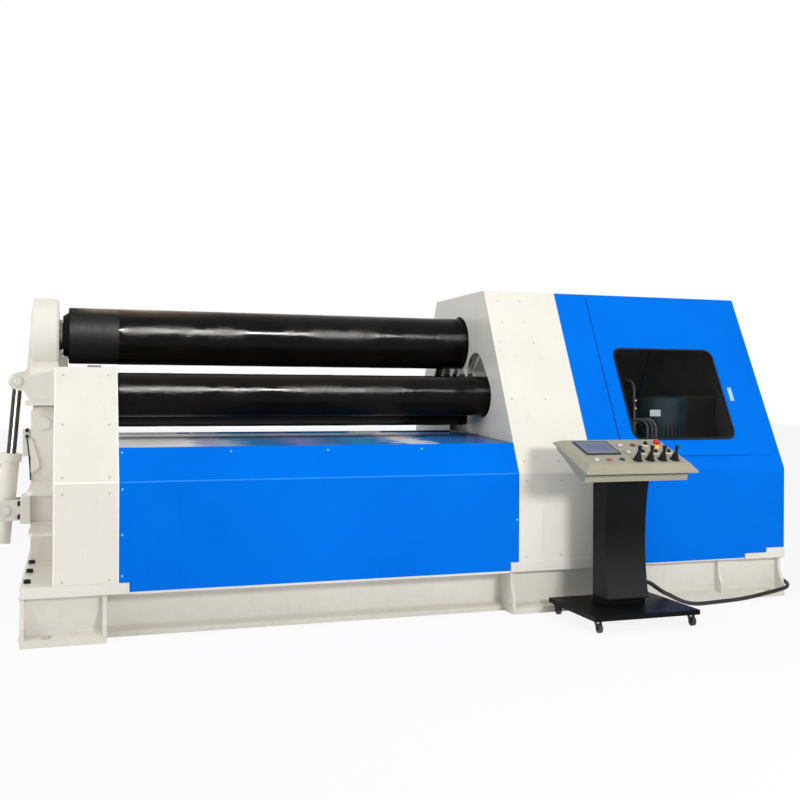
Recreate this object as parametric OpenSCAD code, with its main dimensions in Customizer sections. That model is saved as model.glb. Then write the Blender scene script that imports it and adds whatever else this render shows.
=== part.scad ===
// Four-roll hydraulic plate rolling machine with its operator console.
// X runs along the rolls, the front faces -Y, Z is up, and the floor is at Z = 0.

/* [Overall] */
// Length of the base over both feet
base_len = 4460; // [4200:10:4900]
// Depth of the base, front to rear
base_depth = 1900; // [1800:10:2300]
// Height of the housing roof above the floor
height = 1885; // [1850:5:2300]
// Length of the gap between the left cover and the housing
work_gap = 2187; // [1800:1:2250]

/* [Rolls] */
// Diameter of the top roll
top_roll_d = 325; // [270:1:345]
// Height of the top roll's axis
top_roll_z = 1574; // [1560:1:1620]
// Diameter of the bottom roll
bottom_roll_d = 280; // [230:1:300]
// Gap between top and bottom roll when the bottom roll is down
bottom_gap = 87; // [60:1:110]
// Lift of the bottom roll
bottom_lift = 80; // [20:1:80]
// Diameter of the side rolls
side_roll_d = 240; // [200:1:260]
// Distance of a side roll's axis from the middle plane, roll down
side_roll_y = 401; // [390:1:420]
// Height of a side roll's axis, roll down
side_roll_z = 1234; // [1220:1:1250]
// Slope of the side rolls' guides above the horizontal
side_angle = 50; // [45:1:60]
// Travel of a side roll along its guide
side_travel = 180; // [60:1:190]

/* [Base] */
// Height of the base's top plates
base_top = 295; // [260:1:330]
// Thickness of the feet's top plates
top_plate_t = 55; // [40:1:60]
// Thickness of the feet's sole plates
sole_t = 35; // [25:1:45]
// Length of the left foot
left_foot_len = 407; // [380:1:480]
// Length of the right foot
right_foot_len = 1847; // [1700:1:2000]
// Radius of the anchor bolt holes
anchor_r = 14; // [10:1:18]

/* [Covers] */
// Thickness of the sheet metal covers
sheet = 4; // [3:0.5:6]
// Height of the bend between the upright and the leaning part of the covers
bend_z = 794; // [700:1:900]
// Run of the leaning part for each unit of height
lean = 0.485; // [0.4:0.005:0.5]
// Height of the left cover
left_cover_top = 1377; // [1340:1:1390]
// Height of the blue middle panel's upper edge
panel_top = 966; // [900:1:980]
// Width of the white part of the housing
white_w = 479; // [430:1:560]

/* [Window] */
// Width of the window
window_w = 730; // [600:5:800]
// Height of the window along the slope
window_h = 630; // [500:5:680]
// Corner radius of the window
window_r = 62; // [30:1:90]

/* [Drop end] */
// Outside radius of the tilting bearing housing
tilt_r = 211; // [200:1:230]
// Thickness of the tilting bearing housing along the roll
tilt_t = 153; // [120:1:160]
// Height of the tilt hinge
tilt_hinge_z = 1070; // [1050:1:1090]
// Diameter of the tilt cylinder's barrel
barrel_d = 95; // [80:1:110]
// Diameter of the tilt cylinder's rod
rod_d = 52; // [40:1:60]

/* [Console] */
// Distance of the console's middle from the middle of the base, along X
console_x = 915; // [800:1:1100]
// Gap between the console's base plate and the machine's base
console_gap = 17; // [10:1:300]
// Width of the desk
desk_w = 684; // [560:2:760]
// Width of the console's base plate
console_base_w = 636; // [560:5:760]
// Depth of the console's base plate
console_base_d = 530; // [480:5:640]
// Diameter of the caster wheels
caster_d = 50; // [40:1:60]

/* [Hidden] */
$fn = 64;
eps = 1;

// Colours
white = "#e9e5dc";
blue = "#0076f0";
black = "#26221f";
grey = "#8d8c88";

// Stations along X
x_left = -base_len / 2;
x_right = base_len / 2;
left_cover_x0 = x_left + 152;
left_cover_x1 = x_left + 464;
housing_x = left_cover_x1 + work_gap;
white_x1 = housing_x + white_w;

// Covers: half depth of the outer skin at height z, moved in by t
half = base_depth / 2 - 7;
lean_len = sqrt(1 + lean * lean);
function skin_y(z, t = 0) = min(half - t, half - t * lean_len - lean * (z - bend_z));
function skin_bend(t) = bend_z - t * (lean_len - 1) / lean;

// Outline of the bend, moved in by t: round near the outside, sharp far inside
bend_r = 14;
bend_facets = 6;
function bend_arc(t) = t >= bend_r ? [[half - t, skin_bend(t)]] :
    [for (i = [0:bend_facets]) let (a = atan(lean) * i / bend_facets)
        [half - bend_r + (bend_r - t) * cos(a),
         bend_z - bend_r * tan(atan(lean) / 2) + (bend_r - t) * sin(a)]];

// Heights of the rolls
bottom_roll_z = top_roll_z - top_roll_d / 2 - bottom_gap - bottom_roll_d / 2;

module along_x(x0, x1) {
    translate([x0, 0, 0]) rotate([90, 0, 90]) linear_extrude(x1 - x0) children();
}

module along_y(y0, y1) {
    translate([0, y1, 0]) rotate([90, 0, 0]) linear_extrude(y1 - y0) children();
}

module block(low, high) {
    translate(low) cube(high - low);
}

module both_sides() {
    children();
    mirror([0, 1, 0]) children();
}

// ---------------------------------------------------------------- base
box_wall = 25;       // walls of the welded box sections
web_in = 70;        // depth of the recess between sole and top plate
cable_d = 24;
gland = [226, 110];  // mouth of the cable's elbow on the base's right end: from the front, height
gland_out = 34;      // axis of its mouth out from the end of the base
rib_t = 20;
flange_t = 12;      // thin top flange of the beams
beam_top = 247;     // where the blue panels end
left_plate_x1 = left_cover_x1 + 51;
right_plate_x0 = housing_x - 51;
left_foot_x1 = x_left + left_foot_len;
right_foot_x0 = x_right - right_foot_len;
plate_bottom = base_top - top_plate_t;
anchor_x = 120;     // anchor holes from the ends of the base
anchor_in = 32;     // anchor holes from the front edge of the soles
spot_r = 30;        // spot-faces round the anchor holes
beam_in = 170;      // webs of the beams from the outer skin
beam_sole = [55, 28];   // lower flange of the beams: reach to the front, thickness

// Front edge of a rib: hollow between the top plate and the sole
module rib_outline() {
    y0 = -base_depth / 2;
    difference() {
        translate([y0 + 5, sole_t]) square([web_in + 10, plate_bottom - sole_t]);
        translate([y0 + 5 - 130, sole_t + 165]) circle(r = 165 + 1, $fn = 96);
    }
}

// Flange of a channel lying on z0: rises from its edge at y0 over the width w to the web
flange_rise = 12;
flange_r = 22;
module flange(y0, z0, w) {
    translate([y0, z0]) polygon([[0, -eps], [0, 0], [w - flange_r, flange_rise],
        for (a = [0:15:90]) [w - flange_r * (1 - sin(a)), flange_rise + flange_r * (1 - cos(a))],
        [w + eps, flange_rise + flange_r], [w + eps, -eps]]);
}

module rib(x) {
    along_x(x, x + rib_t) rib_outline();
}

module foot(x0, x1, ribs) {
    yb = base_depth / 2;
    difference() {
        union() {
            block([x0, -yb, 0], [x1, yb, sole_t]);
            block([x0, -yb + web_in, sole_t - eps], [x1, yb - web_in, plate_bottom + eps]);
            for (x = ribs) both_sides() rib(x);
            both_sides() along_x(x0, x1) flange(-yb, sole_t, web_in);
        }
        block([x0 + box_wall, -yb + web_in + box_wall, sole_t],
              [x1 - box_wall, yb - web_in - box_wall, plate_bottom]);
        for (s = [-1, 1]) {
            x = x0 < 0 ? x0 + anchor_x : x1 - anchor_x;
            translate([x, s * (yb - anchor_in), -eps]) cylinder(r = anchor_r, h = sole_t + 2 * eps);
            translate([x, s * (yb - anchor_in), sole_t]) cylinder(r = spot_r, h = flange_rise + flange_r);
        }
    }
}

module left_foot() {
    yb = base_depth / 2;
    color(white) {
        foot(x_left, left_foot_x1, [x_left, left_foot_x1 - rib_t]);
        block([x_left, -yb, plate_bottom], [left_plate_x1, yb, base_top]);
    }
}

module right_foot() {
    yb = base_depth / 2;
    plate_x1 = white_x1 + 30;
    color(white) {
        foot(right_foot_x0, x_right, [right_foot_x0, x_right - 460, x_right - rib_t]);
        block([right_plate_x0, -yb, plate_bottom], [plate_x1, yb, base_top]);
        block([plate_x1 - eps, -half + sheet, plate_bottom], [x_right - 2, half - sheet, base_top]);
        both_sides() {
            block([x_right - 290, -yb, plate_bottom], [x_right, -half + sheet, base_top - 20]);
            block([x_right - 134, -yb, plate_bottom], [x_right, -half + sheet, base_top + 8]);
        }
        translate([x_right, gland[0] - yb, gland[1]]) {
            translate([gland_out, 0, 0]) rotate([-90, 0, 0]) cylinder(r = cable_d / 2 + 5, h = 46);
            translate([-eps, 46, 0]) rotate([0, 90, 0]) cylinder(r = cable_d / 2 + 5, h = gland_out + eps);
            translate([gland_out, 46, 0]) sphere(r = cable_d / 2 + 5);
        }
    }
}

// Channel beams that tie the feet together along the front and the rear
module middle_beams() {
    x0 = left_foot_x1;
    x1 = right_foot_x0;
    front = half - beam_in;
    color(white) both_sides() {
        block([x0, -front - beam_sole[0], 0], [x1, -front + 60, beam_sole[1]]);
        along_x(x0, x1) flange(-front - beam_sole[0], beam_sole[1], beam_sole[0]);
        block([x0, -front, beam_sole[1] - eps], [x1, -front + 20, beam_top - flange_t + eps]);
        block([left_plate_x1, -half, beam_top - flange_t], [right_plate_x0, -front + 60, beam_top]);
    }
}

// ---------------------------------------------------------------- roll guides
slide_gap = 0.3;
block_w = 200;      // side roll blocks, across the guide
block_l = 220;      // side roll blocks, along the guide
low_w = 230;        // bottom roll blocks, along Y
low_h = 220;        // bottom roll blocks, along Z
journal_r = 60;
left_block_x = [left_cover_x1 - 235, left_cover_x1 - 10];
right_block_x = [housing_x + 65, housing_x + 290];
frame_l = [left_cover_x0 + 15, left_cover_x1 - 4];
frame_r = [housing_x + 50, housing_x + 310];
guide_floor = bottom_roll_z - low_h / 2 - 40;   // the frames are box sections below this height
saddle = [[0, 18, 108], [18, 47, 73]];   // steps under the top roll's neck: from, to, and height above the cover
saddle_y = 150;

// Rectangle that a block sweeps, in the YZ plane: extra is the free run above it
module side_guide(extra, gap) {
    translate([-side_roll_y, side_roll_z]) rotate(side_angle)
        translate([-block_l / 2 - gap, -block_w / 2 - gap])
            square([block_l + extra + gap, block_w + 2 * gap]);
}

module low_guide(extra, gap) {
    translate([-low_w / 2 - gap, bottom_roll_z - low_h / 2 - gap])
        square([low_w + 2 * gap, low_h + extra + gap]);
}

// Hollow of a frame's lower part, under the guides
module frame_hollow(ends) {
    along_x(ends[0] + box_wall, ends[1] - box_wall)
        skin_outline(sheet + box_wall, base_top + box_wall, guide_floor - box_wall);
}

module left_frame() {
    color(white) difference() {
        union() {
            along_x(frame_l[0], frame_l[1]) skin_outline(sheet, base_top, left_cover_top - sheet);
            for (b = saddle) block([frame_l[0] + b[0], -saddle_y, left_cover_top - 10],
                                   [frame_l[0] + b[1], saddle_y, left_cover_top + b[2]]);
            both_sides()
                block([frame_l[0] + 155, -175, left_cover_top - 10], [frame_l[0] + 230, -130, left_cover_top + 47]);
        }
        along_x(left_block_x[0] - 5, frame_l[1] + eps) {
            low_guide(500, slide_gap);
            side_guide(500, slide_gap);
            mirror([1, 0]) side_guide(500, slide_gap);
        }
        translate([frame_l[0] - eps, 0, top_roll_z]) rotate([0, 90, 0]) cylinder(r = neck_hole, h = 600);
        frame_hollow(frame_l);
    }
}

module right_frame() {
    color(white) difference() {
        along_x(frame_r[0], frame_r[1]) skin_outline(sheet, base_top, height - 90);
        along_x(frame_r[0] - eps, right_block_x[1] + 5) {
            low_guide(bottom_lift + 5, slide_gap);
            side_guide(side_travel + 5, slide_gap);
            mirror([1, 0]) side_guide(side_travel + 5, slide_gap);
        }
        translate([frame_r[0] - eps, 0, top_roll_z]) rotate([0, 90, 0])
            cylinder(r = top_journal_r + 0.3, h = 400);
        frame_hollow(frame_r);
    }
}

// Cross-section of the covers, filled, between two heights
module skin_outline(t, z0, z1) {
    ps = [[skin_y(z0, t), z0], each bend_arc(t), [skin_y(z1, t), z1]];
    polygon([for (p = ps) p, for (i = [len(ps) - 1:-1:0]) [-ps[i][0], ps[i][1]]]);
}

// One bent sheet on the front side
module front_sheet(z0, z1) {
    outer = [[skin_y(z0), z0], each bend_arc(0), [skin_y(z1), z1]];
    inner = [[skin_y(z0, sheet), z0], each bend_arc(sheet), [skin_y(z1, sheet), z1]];
    polygon([for (p = outer) [-p[0], p[1]],
             for (i = [len(inner) - 1:-1:0]) [-inner[i][0], inner[i][1]]]);
}

module left_cover_front() {
    color(white) along_x(left_cover_x0, left_cover_x1) front_sheet(base_top, left_cover_top);
}

module left_cover_rear() {
    mirror([0, 1, 0]) left_cover_front();
}

// ---------------------------------------------------------------- middle panels and decks
deck_y = 160;       // half width of the opening under the bottom roll
deck_z = 1003;      // height of the decks beside that opening
seam = 0.5;         // seam between neighbouring sheets

module front_panel() {
    color(blue) difference() {
        along_x(left_cover_x1 + seam, housing_x - seam) front_sheet(beam_top, panel_top);
        block([x_left, -base_depth, 0], [left_plate_x1 + seam, 0, base_top + seam]);
        block([right_plate_x0 - seam, -base_depth, 0], [x_right, 0, base_top + seam]);
    }
}

module rear_panel() {
    mirror([0, 1, 0]) front_panel();
}

module front_deck() {
    y = skin_y(panel_top, 0) - sheet * lean_len;
    z = panel_top;
    color(blue) along_x(left_cover_x1 + seam, housing_x - seam)
        polygon([[-y, z], [-deck_y, deck_z], [-deck_y, deck_z - 90], [-deck_y - sheet, deck_z - 90],
                 [-deck_y - sheet, deck_z - sheet], [-y, z - sheet]]);
}

module rear_deck() {
    mirror([0, 1, 0]) front_deck();
}

// ---------------------------------------------------------------- housing
hole_gap = 14;      // dark ring between a roll and the housing's sheet

module housing_side() {
    side_r = side_roll_d / 2 + hole_gap;
    low_r = bottom_roll_d / 2 + hole_gap;
    color(white) difference() {
        along_x(housing_x, housing_x + sheet) skin_outline(sheet, base_top, height - sheet);
        along_x(housing_x - eps, housing_x + sheet + eps) {
            translate([0, top_roll_z]) circle(r = top_roll_d / 2 + hole_gap, $fn = 96);
            translate([-low_r, deck_z]) square([2 * low_r, bottom_roll_z + bottom_lift - deck_z]);
            translate([0, bottom_roll_z + bottom_lift]) circle(r = low_r, $fn = 96);
            for (s = [0, 1]) mirror([s, 0]) translate([-side_roll_y, side_roll_z]) rotate(side_angle) {
                circle(r = side_r, $fn = 96);
                translate([0, -side_r]) square([side_travel, 2 * side_r]);
                translate([side_travel, 0]) circle(r = side_r, $fn = 96);
            }
        }
    }
}

module housing_front() {
    color(white) along_x(housing_x, white_x1) front_sheet(base_top, height);
}

module housing_rear() {
    mirror([0, 1, 0]) housing_front();
}

module roof(x0, x1) {
    y = skin_y(height, sheet);
    block([x0, -y, height - sheet], [x1, y, height]);
}

module housing_roof() {
    color(white) roof(housing_x, white_x1);
}

module drive_roof() {
    color(blue) roof(white_x1, x_right);
}

drive_bottom = 249;
// Cut-outs round the stepped end plates of the right foot
module drive_corner() {
    block([x_right - 290 - seam, -base_depth, 0], [x_right + eps, 0, base_top - 20 + seam]);
    block([x_right - 134 - seam, -base_depth, 0], [x_right + eps, 0, base_top + 8 + seam]);
    block([white_x1 - eps, -base_depth, 0], [white_x1 + 30 + seam, 0, base_top + seam]);
}

// Places on the leaning front: u along X, v up the slope from the bend
module on_slope() {
    translate([0, -half, bend_z]) rotate([90 - atan(lean), 0, 0]) children();
}

panel_u = [white_x1 + 220, x_right - 50];
panel_v = [92, (height - bend_z) * lean_len - 22];
window_u = white_x1 + 678;
window_v = 512;
seal_w = 14;
panel_rim = 40;
panel_t = 3;
panel_out = 0.01;    // paint between the inspection panel and the sheet

module round_rect(w, h, r) {
    translate([r - w / 2, -h / 2]) square([w - 2 * r, h]);
    translate([-w / 2, r - h / 2]) square([w, h - 2 * r]);
    for (i = [-1, 1], j = [-1, 1]) translate([i * (w / 2 - r), j * (h / 2 - r)]) circle(r = r);
}

module drive_front() {
    color(blue) difference() {
        along_x(white_x1, x_right - sheet) front_sheet(drive_bottom, height);
        drive_corner();
        on_slope() translate([panel_u[0] + panel_rim, panel_v[0] + panel_rim, -60])
            cube([panel_u[1] - panel_u[0] - 2 * panel_rim, panel_v[1] - panel_v[0] - 2 * panel_rim, 120]);
    }
}

module drive_rear() {
    color(blue) mirror([0, 1, 0]) difference() {
        along_x(white_x1, x_right - sheet) front_sheet(drive_bottom, height);
        drive_corner();
    }
}

module drive_end() {
    color(blue) difference() {
        along_x(x_right - sheet, x_right) skin_outline(0, drive_bottom, height - sheet);
        both_sides() drive_corner();
        block([x_right - 10, -half - 20, 0], [x_right + 10, half + 20, base_top]);
    }
}

module inspection_panel() {
    color(blue) on_slope() difference() {
        translate([panel_u[0], panel_v[0], panel_out])
            cube([panel_u[1] - panel_u[0], panel_v[1] - panel_v[0], panel_t]);
        translate([window_u, window_v, -eps]) linear_extrude(10) round_rect(window_w, window_h, window_r);
    }
}

module window_seal() {
    color(black) on_slope() difference() {
        translate([window_u, window_v, -3]) linear_extrude(9)
            round_rect(window_w - 1, window_h - 1, window_r - 0.5);
        translate([window_u, window_v, -4]) linear_extrude(12)
            round_rect(window_w - 2 * seal_w, window_h - 2 * seal_w, window_r - seal_w);
    }
}

module window_pane() {
    color("#20303866") on_slope() translate([window_u, window_v, 0]) linear_extrude(4)
        round_rect(window_w - 2 * seal_w - 0.4, window_h - 2 * seal_w - 0.4, window_r - seal_w - 0.2);
}

// ---------------------------------------------------------------- inside the drive housing
motor_x = white_x1 + 800;
motor_y = -380;
motor_r = 165;
motor_foot = 110;    // underside of the motor above the tank
cowl_r = 173;
cowl_z = [337, 470, 502];   // fan cowl above the tank: lower edge, shoulder, top
tank_top = 740;
tank_end = 40;       // tank from the end of the base
cabinet = [223, 485];   // valve cabinet, from the motor's axis along X
cabinet_y = [-300, 100];
cabinet_h = 496;
thin = 10;           // plates of the tank
thin_box = 6;        // plates of the cabinet

module oil_tank() {
    x0 = white_x1 + 300;
    x1 = x_right - tank_end;
    c0 = motor_x + cabinet[0];
    c1 = motor_x + cabinet[1];
    color("#2c3033") {
        difference() {
            block([x0, -580, base_top], [x1, 420, tank_top]);
            block([x0 + thin, -580 + thin, base_top + thin], [x1 - thin, 420 - thin, tank_top - thin]);
        }
        difference() {
            block([c0, cabinet_y[0], tank_top - eps], [c1, cabinet_y[1], tank_top + cabinet_h]);
            block([c0 + thin_box, cabinet_y[0] + thin_box, tank_top + 5],
                  [c1 - thin_box, cabinet_y[1] - thin_box, tank_top + cabinet_h - thin_box]);
        }
        for (z = [120:60:360])
            block([c0 + 40, cabinet_y[0] - 8, tank_top + z], [c1 - 40, cabinet_y[0] + eps, tank_top + z + 14]);
    }
}

module pump_motor() {
    fin_h = cowl_z[0] - motor_foot - 40;
    color("#2b4a50") translate([motor_x, motor_y, tank_top]) {
        cylinder(r = motor_r + 10, h = 20);
        cylinder(r = 85, h = motor_foot + 10);
        translate([0, 0, motor_foot]) difference() {
            cylinder(r = motor_r, h = cowl_z[0] - motor_foot);
            for (a = [0:10:350]) rotate(a) translate([motor_r - 16, -4, 20]) cube([40, 8, fin_h]);
        }
        rotate_extrude() polygon([[0, cowl_z[0] - eps], [cowl_r, cowl_z[0] - eps], [cowl_r, cowl_z[1]],
            [cowl_r - 8, cowl_z[1] + 14], [cowl_r - 30, cowl_z[2] - 6], [0, cowl_z[2]]]);
        rotate(150) translate([motor_r - 20, -70, motor_foot + 40]) cube([80, 140, 130]);
    }
}

// ---------------------------------------------------------------- rolls
top_journal_r = 100;
neck_r = [113, 134];   // neck beside the drop end, growing towards the barrel
neck_hole = 147;       // hole for the neck through the left frame
barrel_x0 = left_cover_x1 + 12;
barrel_x1 = housing_x + 35;
top_barrel_x0 = left_cover_x0 + 66;
tilt_x1 = left_cover_x0 + 15;
tilt_x0 = tilt_x1 - tilt_t;
ring_x1 = tilt_x1 + 17;
ring_r = 93;         // outside of the bearing ring

// Turned shape about the X axis, from radii given at stations along X
module turned(stations) {
    n = len(stations);
    rotate([0, 90, 0]) rotate_extrude($fn = 96)
        polygon([[0, stations[0][0]], for (s = stations) [s[1], s[0]], [0, stations[n - 1][0]]]);
}

module roll(r, x0l, x1r) {
    c = 6;
    turned([[x0l, journal_r], [barrel_x0, journal_r], [barrel_x0, r - c], [barrel_x0 + c, r],
            [barrel_x1 - c, r], [barrel_x1, r - c], [barrel_x1, journal_r], [x1r, journal_r]]);
}

cone_x0 = tilt_x0 + 22;
cone_x1 = ring_x1 + 3;
cone_r0 = 40;
cone_r1 = 76;
cone_gap = 3;

module top_roll() {
    r = top_roll_d / 2;
    c = 6;
    color(black) translate([0, 0, top_roll_z])
        turned([[cone_x0, cone_r0], [cone_x1, cone_r1], [cone_x1, neck_r[0]],
                [top_barrel_x0, neck_r[1]], [top_barrel_x0, r - c], [top_barrel_x0 + c, r],
                [barrel_x1 - c, r], [barrel_x1, r - c], [barrel_x1, top_journal_r],
                [frame_r[1] - 5, top_journal_r]]);
}

module low_roll(d) {
    color(black) roll(d / 2, left_block_x[0] + 5, right_block_x[1] - 5);
}

module bottom_roll() {
    translate([0, 0, bottom_roll_z]) low_roll(bottom_roll_d);
}

module front_roll() {
    translate([0, -side_roll_y, side_roll_z]) low_roll(side_roll_d);
}

module rear_roll() {
    mirror([0, 1, 0]) front_roll();
}

module bearing_bore(y, z) {
    translate([x_left, y, z]) rotate([0, 90, 0]) cylinder(r = journal_r + 0.3, h = base_len);
}

module bottom_roll_blocks() {
    color(grey) difference() {
        for (x = [left_block_x, right_block_x]) along_x(x[0], x[1]) low_guide(0, 0);
        bearing_bore(0, bottom_roll_z);
    }
}

module front_roll_blocks() {
    color(grey) difference() {
        for (x = [left_block_x, right_block_x]) along_x(x[0], x[1]) side_guide(0, 0);
        bearing_bore(-side_roll_y, side_roll_z);
    }
}

module rear_roll_blocks() {
    mirror([0, 1, 0]) front_roll_blocks();
}

// ---------------------------------------------------------------- drop end
hinge_x = x_left + 84;
hinge_r = 38;
ear_t = 60;          // half thickness of the tilting housing's foot, at the hinge
pedestal_y = 110;    // outside of the pedestal's cheeks
shelves = [[742, 790], [512, 610]];   // ribs beside the pedestal: height and reach to the front
shelf_t = 16;
ear_in = 63;         // inner faces of the cylinder bracket's ears
ear_out = 87;
bracket_t = 54;      // its base plate
bracket_y = 126;     // half width of that plate
bracket_z = [505, 652, 726];   // bottom of the plate, top of its outer face, top at the pedestal
bracket_r = 58;      // its ears about the trunnion
pedestal_r = 95;     // cheeks' rounding about the hinge, inside the tilting housing's foot plate
hose_plate = [46, 45, 880, 1033];   // reach to the left, half width, and heights of the hoses' plate
recess = 14;         // depth of the recesses between the shelves
lug = [x_left - 57, 1307];
trunnion = [x_left - 117, 578];
lug_pin_r = 20;
lug_slack = 10;
trunnion_r = 22;
stroke_lean = atan2(lug[0] - trunnion[0], lug[1] - trunnion[1]);
lug_dist = norm(lug - trunnion);

tilt_face = [16, 80];   // domed outer face: its depth, and its width from the rim
tilt_edge = 12;      // chamfer of the inner rim
trunk_y = 200;       // half width of the housing's trunk
trunk_z = 1171;      // its foot plate's underside
trunk_top = 1386;
waist_y = 140;       // half width between the trunk and the round part
plate_over = [24, 20, 28];   // foot plate: beyond the trunk to the left and to each side, thickness
lug_r = 48;
arm_y = [36, 60];    // the lug's two arms
arm_root = 58;       // half height of an arm at the housing
// Edge of the arms against the housing, from its left face and from the lug's height
arm_edge = [[34, arm_root], [22, 71], [18, 85], [0, 323], [-1, 323], [-1, -112], [0, -112], [5, -104], [24, -79],
            [34, -arm_root]];

module tilt_housing() {
    x1 = tilt_x1 - 0.5;
    color(white) difference() {
        union() {
            translate([0, 0, top_roll_z]) turned([[tilt_x0, tilt_r - tilt_face[1]], [tilt_x0 + tilt_face[0], tilt_r],
                                                  [x1 - tilt_edge, tilt_r], [x1, tilt_r - tilt_edge]]);
            block([tilt_x0, -waist_y, trunk_top - eps], [x1, waist_y, top_roll_z - 80]);
            block([tilt_x0, -trunk_y, trunk_z], [x1, trunk_y, trunk_top]);
            foot_plate(x1);
            along_y(-ear_t, ear_t) hull() {
                translate([hinge_x, tilt_hinge_z]) circle(r = 58, $fn = 32);
                translate([hinge_x - 58, trunk_z]) square([116, 10]);
            }
            both_sides() along_y(-arm_y[1], -arm_y[0]) arm();
        }
        translate([hinge_x, -300, tilt_hinge_z]) rotate([-90, 0, 0]) cylinder(r = hinge_r + 0.3, h = 600);
        translate([lug[0], -100, lug[1]]) rotate([-90, 0, 0]) cylinder(r = lug_pin_r + lug_slack, h = 200);
        translate([0, 0, top_roll_z]) turned([[cone_x0 - 12, cone_r0 + cone_gap], [cone_x0, cone_r0 + cone_gap],
            [cone_x1, cone_r1 + cone_gap]]);
    }
}

// Foot plate of the drop end, rounded at its free end
module foot_plate(x1) {
    r = plate_over[2] / 2;
    along_y(-trunk_y - plate_over[1], trunk_y + plate_over[1]) {
        translate([tilt_x0 - plate_over[0] + r, trunk_z + r]) circle(r = r);
        translate([tilt_x0 - plate_over[0] + r, trunk_z]) square([x1 - tilt_x0 + plate_over[0] - r, 2 * r]);
    }
}

// Arm that holds the cylinder's lug pin
module arm() {
    hull() {
        translate(lug) circle(r = lug_r, $fn = 48);
        translate([tilt_x0 - arm_edge[0][0], lug[1] - arm_root]) square([2, 2 * arm_root]);
    }
    polygon([for (p = arm_edge) [tilt_x0 - p[0], lug[1] + p[1]]]);
}

module bearing_ring() {
    color(grey) translate([0, 0, top_roll_z]) difference() {
        turned([[tilt_x1 - 0.5, ring_r], [ring_x1, ring_r]]);
        turned([[cone_x0, cone_r0 + cone_gap], [cone_x1, cone_r1 + cone_gap]]);
    }
}

module tilt_pedestal() {
    x0 = x_left + 18;
    x1 = frame_l[0];
    levels = [[base_top + 28, shelves[1][0] - shelf_t], [shelves[1][0], shelves[0][0] - shelf_t]];
    color(white) {
        difference() {
            union() {
                block([x0, -pedestal_y, base_top], [x1, pedestal_y, tilt_hinge_z]);
                along_y(-pedestal_y, pedestal_y) cheek(x0, x1);
                both_sides() {
                    for (r = shelves) shelf(x0, x1, r[0], r[1]);
                    block([x0, -pedestal_y - 30, base_top], [x1, 0, base_top + 28]);
                    lobe(x0);
                }
            }
            block([x0 - eps, -ear_t - 5, tilt_hinge_z - 90], [x1 + eps, ear_t + 5, tilt_hinge_z + 200]);
            both_sides() for (z = levels)
                block([x0 - eps, -pedestal_y - eps, z[0]], [x1 + eps, -pedestal_y + recess, z[1]]);
            translate([hinge_x, -300, tilt_hinge_z]) rotate([-90, 0, 0]) cylinder(r = hinge_r + 0.3, h = 600);
        }
        block([x0 - hose_plate[0], -hose_plate[1], hose_plate[2]], [x0, hose_plate[1], hose_plate[3]]);
    }
}

// Upper part of the cheeks beside the hinge
module cheek(x0, x1) {
    translate([hinge_x, tilt_hinge_z - eps]) square([x1 - hinge_x, pedestal_r + eps]);
    intersection() {
        translate([hinge_x, tilt_hinge_z]) circle(r = pedestal_r, $fn = 96);
        translate([x0, tilt_hinge_z - eps]) square([x1 - x0, pedestal_r + 2 * eps]);
    }
}

// Rib on the left frame's outer face: its top at z, reaching to y in front
module shelf(x0, x1, z, y) {
    cut = 22;
    translate([0, 0, z - shelf_t]) linear_extrude(shelf_t)
        polygon([[x0 + 6, 0], [x0 + 6, -y + cut], [x0 + 6 + cut, -y], [x1, -y], [x1, 0]]);
}

// Rounded guard plate beside the hoses, welded to the column's face
module lobe(x0) {
    translate([0, -pedestal_y, 0]) along_y(-12, eps) intersection() {
        hull() {
            translate([x0 - 4, 842]) circle(r = 50);
            translate([x0 - 6, 985]) circle(r = 12);
        }
        translate([x0, 700]) square([100, 400]);
    }
}

module tilt_pin() {
    color(white) translate([hinge_x, -pedestal_y - 8, tilt_hinge_z]) rotate([-90, 0, 0])
        cylinder(r = hinge_r, h = 2 * pedestal_y + 16);
}

module cylinder_bracket() {
    x1 = x_left + 17.7;
    x0 = x1 - bracket_t;
    color(white) difference() {
        union() {
            along_y(-bracket_y, bracket_y)
                polygon([[x0, bracket_z[0]], [x1, bracket_z[0]], for (a = [0:9:90])
                    [x0 + bracket_t * cos(a), bracket_z[2] - (bracket_z[2] - bracket_z[1]) * sin(a)]]);
            both_sides() along_y(-ear_out, -ear_in) hull() {
                translate(trunnion) circle(r = bracket_r, $fn = 48);
                translate([x0, trunnion[1] - bracket_r]) square([2, 2 * bracket_r]);
            }
        }
        translate([trunnion[0], -150, trunnion[1]]) rotate([-90, 0, 0]) cylinder(r = trunnion_r + 0.3, h = 300);
    }
}

module on_cylinder() {
    translate([trunnion[0], 0, trunnion[1]]) rotate([0, stroke_lean, 0]) children();
}

head_z = 320;        // top of the cylinder's head above the trunnion
tail_d = 78;         // cylinder below the trunnion
module tilt_cylinder() {
    color(white) on_cylinder() difference() {
        union() {
            translate([0, 0, -55]) cylinder(r = barrel_d / 2, h = 55 + head_z);
            translate([0, 0, -193]) cylinder(r = tail_d / 2, h = 193);
            translate([0, 0, -70]) cylinder(r1 = tail_d / 2, r2 = barrel_d / 2, h = 15);
            translate([0, 0, head_z - 45]) cylinder(r = barrel_d / 2 + 11, h = 45);
            rotate([90, 0, 0]) cylinder(r = trunnion_r, h = 2 * ear_out + 8, center = true);
            rotate([90, 0, 0]) cylinder(r = trunnion_r + 10, h = 2 * ear_in - 2, center = true);
            translate([-barrel_d / 2 - 22, 0, head_z - 75]) rotate([0, 90, 0]) cylinder(r = 14, h = 60);
            translate([-tail_d / 2 - 20, 0, -150]) rotate([0, 90, 0]) cylinder(r = 12, h = 40);
        }
        translate([0, 0, -160]) cylinder(r = rod_d / 2 + 0.3, h = 600);
    }
}

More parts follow.
